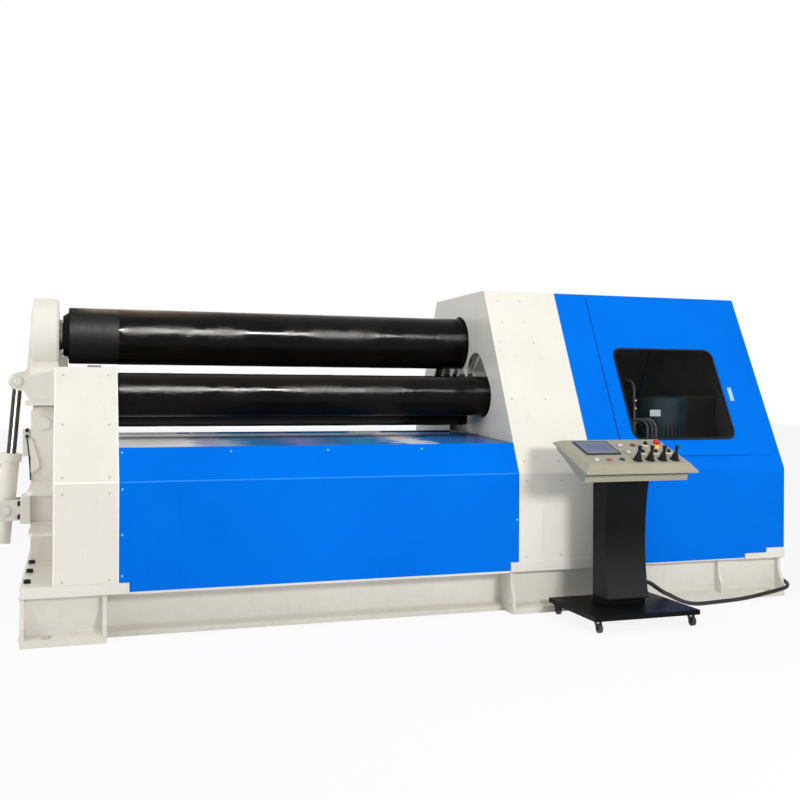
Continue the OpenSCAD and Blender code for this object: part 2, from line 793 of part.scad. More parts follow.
module tilt_rod() {
    color("silver") on_cylinder() difference() {
        union() {
            translate([0, 0, 20]) cylinder(r = rod_d / 2, h = lug_dist - 40);
            translate([0, 0, lug_dist]) rotate([90, 0, 0]) cylinder(r = 44, h = 60, center = true);
            translate([0, 0, lug_dist]) rotate([90, 0, 0]) cylinder(r = lug_pin_r, h = 124, center = true);
        }
    }
}

// ---------------------------------------------------------------- console
console_y = -base_depth / 2 - console_gap - console_base_d / 2;
fork_h = 62;         // floor to the underside of the base plate
plate_t = 26;
plate_top = fork_h + plate_t;
column_w = 254;
column_front = -72;  // front of the column under the desk
column_rear = 105;
column_r = 1450;     // radius of the column's hollow front
desk_front = [-246, 862];   // front edge of the desk's face: Y and Z
desk_tilt = 19.6;
desk_d = 408;
desk_shift = -14;    // middle of the desk from the middle of the console
rim_t = 40;          // height of the desk's rim at the front
rim_rear = 28;       // and at the rear
lip_t = 7;           // upright edge at the foot of the rim
face_in = [36, 46, 26];   // face from the edge of the rim: sides, front, rear
tray_in = 27;        // tray from the edge of the rim, at the sides
tray = [[51, -rim_rear], [51, -105], [96, -113], [desk_d, -59], [desk_d, -rim_rear]];   // section of the tray, v and w

module at_console() {
    translate([console_x, console_y, 0]) children();
}

module console_base() {
    w = console_base_w / 2;
    d = console_base_d / 2;
    color(black) at_console() block([-w, -d, fork_h], [w, d, plate_top]);
}

module console_column() {
    color(black) at_console() difference() {
        along_x(-column_w / 2, column_w / 2) difference() {
            polygon([[column_front, plate_top], [column_rear, plate_top],
                     [column_rear, desk_under(column_rear)], [column_front, desk_under(column_front)]]);
            translate([column_front + 47 - column_r, 450]) circle(r = column_r, $fn = 180);
        }
        translate([-column_w / 2 - 1, column_front - 1, plate_top + 0.01])
            cube([column_w + 2, 48, 36]);
    }
}

// Place on the desk's section in the console's frame: Y and Z
function desk_yz(p) = [desk_front[0] + p[0] * cos(desk_tilt) - p[1] * sin(desk_tilt),
                       desk_front[1] + p[0] * sin(desk_tilt) + p[1] * cos(desk_tilt)];

// Height of the tray's long underside at y
function desk_under(y) = let (a = desk_yz(tray[2]), b = desk_yz(tray[3]))
    a[1] + (y - a[0]) * (b[1] - a[1]) / (b[0] - a[0]);

// The desk's face: u across, v up the slope from the front edge, w out of the face
module on_desk() {
    at_console() translate([0, desk_front[0], desk_front[1]]) rotate([desk_tilt, 0, 0]) children();
}

lever_v = 93;        // levers: distance from the desk's front edge
lever_u = -6;        // first lever
key_pitch = 77;      // levers and keys, centre to centre
ball_r = 20;         // ball of a lever, half sunk in the desk

module lever_place(i) {
    on_desk() translate([lever_u + key_pitch * i, lever_v, 0]) children();
}

module console_desk() {
    u0 = desk_shift - desk_w / 2;
    u1 = desk_shift + desk_w / 2;
    color("#c8c0a8") difference() {
        on_desk() {
            hull() {
                along_x(u0, u1) polygon([[0, -rim_t], [desk_d, -rim_rear], [desk_d, lip_t - rim_rear], [0, lip_t - rim_t]]);
                block([u0 + face_in[0], face_in[1], -0.5], [u1 - face_in[0], desk_d - face_in[2], 0]);
            }
            along_x(u0 + tray_in, u1 - tray_in)
                polygon([[tray[0][0], -rim_rear + eps], for (p = tray) p, [desk_d, -rim_rear + eps]]);
        }
        for (i = [0:3]) lever_place(i) sphere(r = ball_r + 0.4);
    }
}

screen = [-271, 172, 209, 178];   // u, v, width and depth of the screen
module console_screen() {
    color(grey) on_desk() translate([screen[0], screen[1], 0]) cube([screen[2], screen[3], 7]);
}

module console_buttons() {
    color(grey) on_desk() {
        for (i = [0:2]) translate([-251 + key_pitch * i, 101, 0]) cylinder(r = 14, h = 14);
        for (i = [0:1]) translate([-3 + 81 * i, 296, 0]) cylinder(r = 14, h = 14);
        for (i = [0:3]) translate([82 * i, 199, 0]) cylinder(r = 14, h = 22);
        translate([226, 265, 0]) {
            cylinder(r = 30, h = 8);
            cylinder(r = 15, h = 30);
            translate([0, 0, 28]) cylinder(r = 22, h = 16);
        }
    }
}

module lever(i) {
    color(black) lever_place(i) {
        sphere(r = ball_r);
        translate([0, 0, 9]) cylinder(r1 = ball_r - 2.2, r2 = 8, h = 36);
        cylinder(r = 6, h = 60);
        translate([0, 0, 56]) cylinder(r1 = 8, r2 = 13, h = 26);
    }
}

module caster_at(i) {
    sx = i % 2 == 0 ? -1 : 1;
    sy = i < 2 ? -1 : 1;
    at_console() translate([sx * (console_base_w / 2 - 35), sy * (console_base_d / 2 - 35), 0]) children();
}

trail = 14;
module caster_fork(i) {
    r = caster_d / 2;
    color(black) caster_at(i) difference() {
        union() {
            translate([0, 0, fork_h - 5]) cylinder(r = 24, h = 4.7);
            for (s = [-1, 1]) translate([s * 14, 0, 0]) along_x(-1.5, 1.5) hull() {
                translate([-trail, r]) circle(r = 8, $fn = 24);
                translate([-12, fork_h - 7]) square([26, 3]);
            }
            translate([-15.5, -12, fork_h - 7]) cube([31, 26, 3]);
        }
        translate([-30, -trail, r]) rotate([0, 90, 0]) cylinder(r = 4.2, h = 60);
    }
}

module caster_wheel(i) {
    r = caster_d / 2;
    color("dimgray") caster_at(i) translate([0, -trail, r]) rotate([0, 90, 0]) {
        cylinder(r = r, h = 18, center = true);
        cylinder(r = 4, h = 38, center = true);
    }
}

// Cable from the console's column to a gland on the right end of the machine's base
cable_pts = [[1042.5, -1170, 190], [1090, -1170, 189], [1135, -1166, 176], [1180, -1157, 148], [1235, -1142, 116],
             [1300, -1124, 86], [1370, -1104, 54], [1440, -1086, 30], [1520, -1066, 16], [1620, -1048, 13],
             [1720, -1034, 13], [1820, -1022, 14], [1920, -1012, 20], [2010, -1004, 30], [2090, -1001, 42],
             [2150, -1001, 52], [2198, -994, 60], [2228, -977, 66], [2251, -950, 72], [2262, -921, 79],
             [2264, -888, 87], [2264, -850, 95], [2264, -810, 102], [2264, -775, 107], [2264, -750, 109],
             [2264, -724.5, 110]];

function unit(v) = v / norm(v);
function side_of(d) = unit(cross(d, [0, 0, 1]));
function ring_at(p, d, r, n) = let (a = side_of(d), b = cross(a, d))
    [for (k = [0:n - 1]) p + r * (cos(360 * k / n) * a + sin(360 * k / n) * b)];
function heading(ps, i) = unit(ps[min(i + 1, len(ps) - 1)] - ps[max(i - 1, 0)]);

module tube(ps, r, n = 8) {
    m = len(ps);
    rings = [for (i = [0:m - 1]) each ring_at(ps[i], heading(ps, i), r, n)];
    sides = [for (i = [0:m - 2], k = [0:n - 1])
             [i * n + k, i * n + (k + 1) % n, (i + 1) * n + (k + 1) % n, (i + 1) * n + k]];
    polyhedron(rings, concat([[for (k = [n - 1:-1:0]) k]], sides, [[for (k = [0:n - 1]) (m - 1) * n + k]]));
}

module console_cable() {
    color(black) tube(cable_pts, cable_d / 2);
}

left_foot();
middle_beams();
right_foot();
left_frame();
tilt_pedestal();
tilt_pin();
cylinder_bracket();
right_frame();
left_cover_front();
left_cover_rear();
front_panel();
rear_panel();
front_deck();
rear_deck();
housing_side();
housing_front();
housing_rear();
housing_roof();
drive_front();
drive_rear();
drive_end();
drive_roof();
inspection_panel();
window_seal();
window_pane();
pump_motor();
oil_tank();
tilt_housing();
bearing_ring();
tilt_cylinder();
tilt_rod();
top_roll();
bottom_roll();
bottom_roll_blocks();
front_roll();
front_roll_blocks();
rear_roll();
rear_roll_blocks();
console_base();
console_column();
console_desk();
console_screen();
console_buttons();
lever(0);  // lever_1
lever(1);  // lever_2
lever(2);  // lever_3
lever(3);  // lever_4
caster_fork(0);  // caster_fork_1
caster_fork(1);  // caster_fork_2
caster_fork(2);  // caster_fork_3
caster_fork(3);  // caster_fork_4
caster_wheel(0);  // caster_wheel_1
caster_wheel(1);  // caster_wheel_2
caster_wheel(2);  // caster_wheel_3
caster_wheel(3);  // caster_wheel_4
console_cable();
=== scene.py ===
import math

import bmesh
import bpy
import numpy as np
from mathutils import Matrix, Vector


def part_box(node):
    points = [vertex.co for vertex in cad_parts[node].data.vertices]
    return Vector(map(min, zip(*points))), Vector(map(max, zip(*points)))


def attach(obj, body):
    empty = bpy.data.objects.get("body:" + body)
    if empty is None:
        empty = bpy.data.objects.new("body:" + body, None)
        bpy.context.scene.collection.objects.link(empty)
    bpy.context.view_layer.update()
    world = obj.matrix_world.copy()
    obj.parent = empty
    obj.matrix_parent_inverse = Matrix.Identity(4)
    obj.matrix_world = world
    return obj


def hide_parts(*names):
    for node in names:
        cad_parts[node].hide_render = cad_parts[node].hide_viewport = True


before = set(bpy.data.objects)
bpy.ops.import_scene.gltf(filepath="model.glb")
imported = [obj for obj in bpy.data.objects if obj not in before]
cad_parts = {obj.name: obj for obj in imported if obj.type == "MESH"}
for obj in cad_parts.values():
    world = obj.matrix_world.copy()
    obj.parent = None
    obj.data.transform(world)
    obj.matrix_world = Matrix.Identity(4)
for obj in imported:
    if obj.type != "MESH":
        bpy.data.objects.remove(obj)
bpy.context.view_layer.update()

# ---------------------------------------------------------------- camera
# Stands in front of the drop end at chest height and looks towards the drive
# housing, nearly level, through a slightly long lens.
camera = bpy.data.objects.new("camera", bpy.data.cameras.new("camera"))
bpy.context.scene.collection.objects.link(camera)
bpy.context.scene.camera = camera
camera.data.lens = 44.73
camera.data.shift_x = 0.0036
camera.data.shift_y = -0.00725
camera.matrix_world = (
    Matrix.Translation((-1.990, -6.084, 1.2415))
    @ Matrix.Rotation(math.radians(-18.089), 4, "Z")
    @ Matrix.Rotation(math.radians(90.016), 4, "X")
    @ Matrix.Rotation(math.radians(0.256), 4, "Z")
)

# ---------------------------------------------------------------- console cable
# Control cable, 24 mm over its rubber sheath, from the console's column along the
# floor to an elbow gland on the base's right end. A ribbed rubber sleeve relieves
# it where it leaves the column.


def chip(red, green, blue):
    """A colour read off a paint chip, 0 to 255, as the linear value that shaders take."""
    c = np.array([red, green, blue]) / 255
    return (*np.where(c < 0.04045, c / 12.92, ((c + 0.055) / 1.055) ** 2.4), 1.0)


def put(tree, kind, inputs=(), **settings):
    """Adds a node to a finish: its settings, then each input as a value or the output that
    feeds it."""
    made = tree.nodes.new("ShaderNode" + kind)
    for key, value in settings.items():
        setattr(made, key, value)
    for key, value in dict(inputs).items():
        if isinstance(value, bpy.types.NodeSocket):
            tree.links.new(value, made.inputs[key])
        else:
            made.inputs[key].default_value = value
    return made


def new_finish(name, **even):
    """A new finish: the material, its tree and its shader, with the even values on the
    shader's own sockets."""
    material = bpy.data.materials.new(name)
    material.use_nodes = True
    tree = material.node_tree
    shader = tree.nodes["Principled BSDF"]
    for key, value in even.items():
        shader.inputs[key.replace("_", " ")].default_value = value
    return material, tree, shader


def clouded(name, dark, light, patch, detail, **even):
    """A smooth finish whose colour drifts from dark to light in soft clouds."""
    material, tree, shader = new_finish(name, **even)
    place = put(tree, "TexCoord").outputs["Object"]
    cloud = put(tree, "TexNoise", {"Vector": place, "Scale": patch, "Detail": detail})
    shade = put(tree, "ValToRGB", {"Fac": cloud.outputs["Fac"]})
    shade.color_ramp.elements[0].color, shade.color_ramp.elements[1].color = dark, light
    tree.links.new(shade.outputs["Color"], shader.inputs["Base Color"])
    return material


def coat(name, light, dark, patch=3.0, grain=400.0, depth=0.0002, rough=(0.3, 0.4),
         stretch=(1, 1, 1), **even):
    """One coat of a finish: broad noise drifts the colour from dark to light and the
    roughness from one bound to the other, and fine noise raises the grain."""
    material, tree, shader = new_finish(name, **even)
    place = put(tree, "TexCoord").outputs["Object"]
    stretched = put(tree, "Mapping", {"Vector": place, "Scale": stretch}).outputs["Vector"]
    broad = put(tree, "TexNoise", {"Vector": stretched, "Scale": patch, "Detail": 6.0, "Roughness": 0.6})
    fine = put(tree, "TexNoise", {"Vector": stretched, "Scale": grain, "Detail": 3.0})
    shade = put(tree, "ValToRGB", {"Fac": broad.outputs["Fac"]})
    shade.color_ramp.elements[0].position, shade.color_ramp.elements[1].position = 0.3, 0.7
    shade.color_ramp.elements[0].color, shade.color_ramp.elements[1].color = dark, light
    dull = put(tree, "MapRange", {"Value": broad.outputs["Fac"], "From Min": 0.3, "From Max": 0.7,
                                  "To Min": rough[1], "To Max": rough[0]})
    bump = put(tree, "Bump", {"Height": fine.outputs["Fac"], "Strength": 1.0, "Distance": depth})
    tree.links.new(shade.outputs["Color"], shader.inputs["Base Color"])
    tree.links.new(dull.outputs["Result"], shader.inputs["Roughness"])
    tree.links.new(bump.outputs["Normal"], shader.inputs["Normal"])
    return material


def stain(material, share, colour, blend="MIX"):
    """Mixes a colour into a finish's own by the share that a node of the finish puts out."""
    tree = material.node_tree
    shader = tree.nodes["Principled BSDF"]
    own = shader.inputs["Base Color"].links[0].from_socket
    mixed = put(tree, "Mix", {0: share, 6: own, 7: colour}, data_type="RGBA", blend_type=blend)
    tree.links.new(mixed.outputs[2], shader.inputs["Base Color"])


def along(material, axis, start, stop):
    """A share that rises from 0 to 1 between two places on an axis of the piece."""
    tree = material.node_tree
    at = put(tree, "SeparateXYZ", {0: put(tree, "TexCoord").outputs["Object"]}).outputs[axis]
    return put(tree, "MapRange", {"Value": at, "From Min": start, "From Max": stop},
               interpolation_type="SMOOTHSTEP").outputs["Result"]


def dress(material, *names):
    """Gives CAD nodes their finish."""
    for name in names:
        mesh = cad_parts[name].data
        mesh.materials.clear()
        mesh.materials.append(material)


def skin(name, grid, material, body, wrap=True, crease=35):
    """A piece over a grid of points shaped (pieces, rows, columns, 3): neighbouring rows and
    columns span one face, wrap joins the last column to the first, and rows that shrink to a
    point close the ends. Edges sharper than crease degrees stay sharp."""
    count, rows, columns, _ = grid.shape
    index = np.arange(count * rows * columns).reshape(count, rows, columns)
    left = index if wrap else index[:, :, :-1]
    right = np.roll(index, -1, 2) if wrap else index[:, :, 1:]
    faces = np.stack([left[:, :-1], right[:, :-1], right[:, 1:], left[:, 1:]], -1).reshape(-1, 4)
    mesh = bpy.data.meshes.new(name)
    mesh.from_pydata(grid.reshape(-1, 3).tolist(), [], faces.tolist())
    shell = bmesh.new()
    shell.from_mesh(mesh)
    bmesh.ops.remove_doubles(shell, verts=shell.verts, dist=1e-6)
    bmesh.ops.recalc_face_normals(shell, faces=shell.faces)
    shell.to_mesh(mesh)
    shell.free()
    mesh.polygons.foreach_set("use_smooth", np.ones(len(mesh.polygons), bool))
    mesh.set_sharp_from_angle(angle=math.radians(crease))
    mesh.materials.append(material)
    piece = bpy.data.objects.new(name, mesh)
    bpy.context.scene.collection.objects.link(piece)
    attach(piece, body)
    return piece


def turned(feet, axis, profile, facets=24):
    """Grid of turned pieces: at every foot, rings about the axis, one for each (distance,
    radius) of the profile. A third number of 1 makes a ring a hexagon with the radius to its
    flats, and a radius of 0 closes an end."""
    axis = np.array(axis, float) / np.linalg.norm(axis)
    across = np.cross(axis, [0.36, 0.48, 0.8] if abs(axis[0]) > 0.5 else [1.0, 0, 0])
    across /= np.linalg.norm(across)
    upward = np.cross(axis, across)
    around = np.arange(facets) * 2 * np.pi / facets
    ring = np.cos(around)[:, None] * across + np.sin(around)[:, None] * upward
    far, radius, hexed = np.array([(*row, 0)[:3] for row in profile], float).T
    flats = 1 / np.cos(around % (np.pi / 3) - np.pi / 6) - 1
    reach = radius[:, None] * (1 + hexed[:, None] * flats)
    one = far[:, None, None] * axis + reach[..., None] * ring
    return np.atleast_2d(np.array(feet, float))[:, None, None] + one


def through(points, steps):
    """Smooth line through points: between two of them runs a cubic whose slope at each is half
    the step between that point's neighbours."""
    p = np.vstack([2 * points[0] - points[1], points, 2 * points[-1] - points[-2]])
    t = (np.arange(steps) / steps)[None, :, None]
    a, b, c, d = (p[i:len(p) - 3 + i, None] for i in range(4))
    bent = 0.5 * (2 * b + (c - a) * t + (2 * a - 5 * b + 4 * c - d) * t**2 + (3 * b - a - 3 * c + d) * t**3)
    return np.vstack([bent.reshape(-1, 3), points[-1]])


cable_route = np.array([
    [1042.5, -1170, 190], [1090, -1170, 189], [1135, -1166, 176], [1180, -1157, 148], [1235, -1142, 116],
    [1300, -1124, 86], [1370, -1104, 54], [1440, -1086, 30], [1520, -1066, 16], [1620, -1048, 13],
    [1720, -1034, 13], [1820, -1022, 14], [1920, -1012, 20], [2010, -1004, 30], [2090, -1001, 42],
    [2150, -1001, 52], [2198, -994, 60], [2228, -977, 66], [2251, -950, 72], [2262, -921, 79],
    [2264, -888, 87], [2264, -850, 95], [2264, -810, 102], [2264, -775, 107], [2264, -750, 109],
    [2264, -724.5, 110]]) / 1000
cable_line = through(cable_route, 6)
cable_curve = bpy.data.curves.new("cable", "CURVE")
cable_curve.dimensions = "3D"
cable_curve.bevel_depth = 0.012
cable_curve.bevel_resolution = 5
cable_curve.use_fill_caps = True
spline = cable_curve.splines.new("POLY")
spline.points.add(len(cable_line) - 1)
spline.points.foreach_set("co", np.hstack([cable_line, np.ones((len(cable_line), 1))]).ravel())
spline.use_smooth = True
cable = bpy.data.objects.new("cable", cable_curve)
bpy.context.scene.collection.objects.link(cable)
rubber = coat("cable_rubber", chip(38, 38, 39), chip(24, 24, 26), patch=14, grain=900, depth=0.00015,
              rough=(0.42, 0.6), Specular_IOR_Level=0.4)
cable_curve.materials.append(rubber)
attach(cable, "machine")
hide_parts("console_cable")

rib = np.arange(9)
sleeve_at = 0.004 + 0.0048 * np.repeat(rib, 4) + np.tile([0, 0.0014, 0.0034, 0.0047], 9)
sleeve_r = np.repeat(0.0215 - 0.00075 * rib, 4) - np.tile([0.002, 0, 0, 0.002], 9)
relief = skin("cable_relief", turned([1.0425, -1.170, 0.190], (1, 0, 0), [
    (0.0, 0.0122), (0.0, 0.024), (0.003, 0.025), (0.004, 0.022),
    *zip(sleeve_at, sleeve_r), (0.054, 0.0135), (0.056, 0.0122), (0.0, 0.0122)], 32),
    rubber, "machine")

# ---------------------------------------------------------------- floor and lamps
# Pale workshop floor that keeps the machine's shadow. The main lamp stands in front and
# to the right, wide ones hang overhead and at the left. Two more draw the bright lines
# along the rolls and up the piston rod, each on its own pieces and in their gloss alone.
floor_mesh = bpy.data.meshes.new("floor")
floor_mesh.from_pydata([(-30, -30, 0), (30, -30, 0), (30, 30, 0), (-30, 30, 0)], [], [(0, 1, 2, 3)])
floor = bpy.data.objects.new("floor", floor_mesh)
bpy.context.scene.collection.objects.link(floor)


def seen_directly(tree):
    """1 for rays that the camera, a gloss or a glass sends, else 0."""
    path = put(tree, "LightPath").outputs
    either = put(tree, "Math", {0: path["Is Camera Ray"], 1: path["Is Glossy Ray"]},
                 operation="MAXIMUM")
    return put(tree, "Math", {0: either.outputs[0], 1: path["Is Transmission Ray"]},
               operation="MAXIMUM").outputs[0]


floor_coat = bpy.data.materials.new("floor")
floor_coat.use_nodes = True
floor_tree = floor_coat.node_tree
matt = floor_tree.nodes["Principled BSDF"]
matt.inputs["Base Color"].default_value = (0.84, 0.84, 0.84, 1)
matt.inputs["Roughness"].default_value = 1.0
matt.inputs["Specular IOR Level"].default_value = 0.0
glow = put(floor_tree, "Emission", {"Color": (1, 1, 1, 1), "Strength": 1.0})
glow_share = put(floor_tree, "Math", {0: seen_directly(floor_tree), 1: 0.88}, operation="MULTIPLY")
floor_mix = put(floor_tree, "MixShader", {0: glow_share.outputs[0], 1: matt.outputs[0], 2: glow.outputs[0]})
floor_tree.links.new(floor_mix.outputs[0], floor_tree.nodes["Material Output"].inputs["Surface"])
floor_mesh.materials.append(floor_coat)

world = bpy.data.worlds.new("workshop")
bpy.context.scene.world = world
world.use_nodes = True
sky = world.node_tree
backdrop = sky.nodes["Background"].inputs
level = put(sky, "MapRange", {"Value": seen_directly(sky), "To Min": 0.42, "To Max": 1.0})
backdrop["Color"].default_value = (1, 1, 1, 1)
sky.links.new(level.outputs["Result"], backdrop["Strength"])
bpy.context.scene.view_settings.view_transform = "Standard"


def lamp(name, place, aim, size, watts, tint=(1, 1, 1)):
    """Flat lamp of a size in metres, turned from its place towards its aim."""
    light = bpy.data.lights.new(name, "AREA")
    light.shape, light.size, light.size_y = "RECTANGLE", *size
    light.energy, light.color = watts, tint
    made = bpy.data.objects.new(name, light)
    bpy.context.scene.collection.objects.link(made)
    made.matrix_world = (Matrix.Translation(place)
                         @ (Vector(aim) - Vector(place)).to_track_quat("-Z", "Y").to_matrix().to_4x4())
    made.visible_camera = False
    return made


for room_lamp in (
        lamp("key_lamp", (1.85, -6.5, 2.25), (0.3, -0.7, 0.95), (1.2, 0.7), 172, (1.0, 0.99, 0.97)),
        lamp("top_lamp", (0.2, -1.6, 6.2), (0.2, -0.4, 0.9), (5, 3), 95),
        lamp("side_lamp", (-6.0, -2.2, 2.8), (-1.6, 0, 1.1), (2.5, 2.5), 110)):
    room_lamp.visible_glossy = False
gloss_tint = (1.0, 0.96, 0.93)
for gloss_lamp in (
        lamp("tube_lamp", (-0.6, -6.3, 4.6), (-0.6, 0, 1.45), (5, 0.2), 3300, gloss_tint),
        lamp("rod_lamp", (-1.79, -1.93, 1.25), (-2.3, 0, 1.2), (2.4, 1.6), 420, gloss_tint)):
    pieces = bpy.data.collections.new(gloss_lamp.name + "_pieces")
    gloss_lamp.visible_diffuse = False
    gloss_lamp.light_linking.receiver_collection = pieces
    gloss_lamp.light_linking.blocker_collection = pieces


# ---------------------------------------------------------------- feet
# Two welded box feet of thick plate stand on the floor under the frames. They are
# primed and sprayed with white machine enamel, which is dusty near the floor.


def enamel(name, light, dark, dust, floor_dust=0.5, **even):
    """Sprayed machine enamel: fine orange peel over softened edges, a slow drift of shade, faint
    wiped streaks, and dust that thickens towards the floor."""
    material = coat(name, light, dark, patch=1.9, grain=380.0, depth=0.00012, rough=(0.27, 0.37), **even)
    tree = material.node_tree
    shader = tree.nodes["Principled BSDF"]
    place = put(tree, "TexCoord").outputs["Object"]
    speck = put(tree, "TexNoise", {"Vector": place, "Scale": 23.0, "Detail": 9.0, "Roughness": 0.72})
    low = put(tree, "MapRange", {"Value": put(tree, "SeparateXYZ", {0: place}).outputs["Z"],
                                 "From Min": 0.34, "From Max": 0.0, "To Min": 0.0, "To Max": floor_dust})
    long = put(tree, "Mapping", {"Vector": place, "Scale": (7.0, 7.0, 0.9)})
    wiped_and_painted_glare = put(tree, "TexNoise", {"Vector": long.outputs["Vector"], "Scale": 2.6, "Detail": 7.0,
                                   "Roughness": 0.66})
    streak = put(tree, "MapRange", {"Value": wiped_and_painted_glare.outputs["Fac"], "From Min": 0.56, "From Max": 0.82,
                                    "To Min": 0.0, "To Max": 0.22})
    dusty = put(tree, "Math", {0: low.outputs["Result"], 1: speck.outputs["Fac"]}, operation="MULTIPLY")
    share = put(tree, "Math", {0: dusty.outputs[0], 1: streak.outputs["Result"]}, operation="ADD")
    stain(material, share.outputs[0], dust)
    peel = shader.inputs["Normal"].links[0].from_node
    tree.links.new(put(tree, "Bevel", {"Radius": 0.0025}, samples=4).outputs["Normal"], peel.inputs["Normal"])
    return material


white = enamel("white_enamel", chip(236, 233, 224), chip(229, 225, 215), chip(176, 170, 158))
dress(white, "left_foot", "right_foot")

black_oxide = coat("black_oxide", chip(44, 44, 46), chip(24, 24, 25), patch=160, grain=1500, depth=0.0001,
                   rough=(0.32, 0.5), Metallic=0.7)
socket_bolt = [(0, 0.0), (0, 0.018), (0.0165, 0.018), (0.018, 0.0165), (0.018, 0.0088),
               (0.018, 0.0082, 1), (0.009, 0.0082, 1), (0.009, 0.0)]
sides = (-1, 1)
foot_bolt_x, foot_top = -2.2, 0.295
foot_bolts = [(foot_bolt_x, y, foot_top) for y in (-0.82, -0.50, -0.21, 0.21, 0.50, 0.82)]
skin("foot_bolts", turned(foot_bolts, (0, 0, 1), socket_bolt), black_oxide, "machine")


def bead(paths, size=0.0045, pitch=0.0035):
    """Grid of weld beads: round cords along straight paths, whose radius swells and sinks by a
    fifth like overlapping scales, and shrinks to a point at both ends."""
    start, stop = np.array(paths, float).transpose(1, 0, 2)
    reach = stop - start
    steps = int(np.linalg.norm(reach, axis=1).max() / pitch)
    t = np.linspace(0, 1, steps)
    tip = np.minimum(1, np.minimum(t, 1 - t) * steps / 2)
    swell = size * (1 + 0.2 * np.sin(np.arange(steps) * 2.1)) * tip
    heading = reach / np.linalg.norm(reach, axis=1, keepdims=True)
    across = np.cross(heading, [0.267, 0.535, 0.802])
    across /= np.linalg.norm(across, axis=1, keepdims=True)
    upward = np.cross(heading, across)
    angle = np.arange(8) * np.pi / 4
    ring = np.cos(angle)[None, :, None] * across[:, None] + np.sin(angle)[None, :, None] * upward[:, None]
    line = start[:, None] + t[None, :, None] * reach[:, None]
    return line[:, :, None] + swell[None, :, None, None] * ring[:, None]


rib_x, rib_thick = np.array([-2.23, -1.843, 0.383, 1.77, 2.21]), 0.02
edge_y, web_y, plate_z, end_x = 0.943, 0.88, 0.24, 2.22
rib_side = np.concatenate([rib_x, rib_x + rib_thick])
inner_side = rib_side[np.abs(rib_side) < end_x]
weld = [[(x, s * edge_y, a), (x, s * y, b)] for x in rib_side
        for y, a, b in ((0.902, 0.037, 0.047), (web_y, plate_z, plate_z)) for s in sides]
weld += [[(x, s * web_y, 0.069), (x, s * web_y, plate_z)] for x in inner_side for s in sides]
long_weld = [[(a, s * web_y, plate_z), (b, s * web_y, plate_z)]
             for a, b in ((-2.21, -1.843), (0.403, 1.77), (1.79, 2.21)) for s in sides]
skin("rib_welds", bead(weld), white, "machine")
skin("web_welds", bead(long_weld, pitch=0.006), white, "machine")

# ---------------------------------------------------------------- middle beams
# Channel beams of bent plate tie the two feet together along the front and the
# rear. They are welded to the feet and sprayed with them.
dress(white, "middle_beams")
beam_weld = [[(x, s * 0.828, 0.029), (x, s * 0.797, 0.039)] for x in (-1.823, 0.383) for s in sides]
skin("beam_welds", bead(beam_weld), white, "machine")

# ---------------------------------------------------------------- frames and pedestal
# Two upright frames of welded plate carry the rolls. The left one carries the pedestal
# for the drop end and, bolted to it, the cylinder's bracket with two clamped hoses. The
# left frame's top is painted grey as painted shade under the rolls and drop end above it.
dress(white, "right_frame", "tilt_pedestal", "cylinder_bracket", "tilt_pin")
frame_top_painted_shade = white.copy()
frame_top_painted_shade.name = "left_frame_painted_shade"
saddle_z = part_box("left_frame")[1].z - 0.108
# Above this height the frame is painted grey: painted shade under the top roll.
stain(frame_top_painted_shade, along(frame_top_painted_shade, "Z", saddle_z - 0.002, saddle_z + 0.002), chip(146, 142, 137))
dress(frame_top_painted_shade, "left_frame")
plate_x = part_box("tilt_pedestal")[0].x
bracket_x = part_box("cylinder_bracket")[1].x - 0.054
frame_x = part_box("left_frame")[0].x
shelf_weld = [[(frame_x, s * 0.113, z), (frame_x, s * y, z)]
              for z, y in ((0.742, 0.785), (0.726, 0.785), (0.512, 0.6), (0.496, 0.6)) for s in sides]
column_weld = [[(frame_x, s * 0.11, a), (frame_x, s * 0.11, b)]
               for a, b in ((0.325, 0.494), (0.514, 0.724), (0.744, 1.13)) for s in sides]
skin("shelf_welds", bead(shelf_weld, pitch=0.005), white, "machine")
skin("column_welds", bead(column_weld, pitch=0.005), white, "machine")
bracket_bolts = [(bracket_x, s * 0.1, z) for z in (0.542, 0.617) for s in sides]
bracket_bolt = [(0.83 * a, 0.78 * b, *c) for a, b, *c in socket_bolt]
skin("bracket_bolts", turned(bracket_bolts, (-1, 0, 0), bracket_bolt), black_oxide, "machine")
clamp_bolt = [(0.7 * a, 0.55 * b, *c) for a, b, *c in socket_bolt]
skin("clamp_bolts", np.concatenate([
    turned([(plate_x + 0.023, s * 0.045, z) for z in (1.028, 0.993)], (0, s, 0), clamp_bolt)
    for s in sides]), black_oxide, "machine")


def hose(route, size, steps=8, facets=14):
    """Hose along a smooth line through the route's points: at every point a ring across the
    line's heading, and a point in the middle at both ends."""
    line = through(np.array(route, float), steps)
    heading = np.gradient(line, axis=0)
    heading /= np.linalg.norm(heading, axis=1, keepdims=True)
    across = np.cross(heading, [0.31, 0.94, 0.13])
    across /= np.linalg.norm(across, axis=1, keepdims=True)
    upward = np.cross(heading, across)
    angle = np.arange(facets) * 2 * np.pi / facets
    ring = np.cos(angle)[None, :, None] * across[:, None] + np.sin(angle)[None, :, None] * upward[:, None]
    tube = line[:, None] + size * ring
    return np.concatenate([line[:1, None] + 0 * ring[:1], tube, line[-1:, None] + 0 * ring[:1]])[None]


hose_rubber = coat("hose_rubber", chip(44, 44, 46), chip(30, 30, 32), patch=14, grain=900,
                   rough=(0.4, 0.55))
skin("clamp_hoses", np.concatenate([
    hose([(-2.235, s * 0.058, 0.994), (-2.234, s * 0.082, 0.985), (-2.231, s * 0.091, 0.968),
          (-2.220, s * 0.094, 0.873), (-2.212, s * 0.121, 0.750)], 0.0042) for s in sides]),
     hose_rubber, "machine")

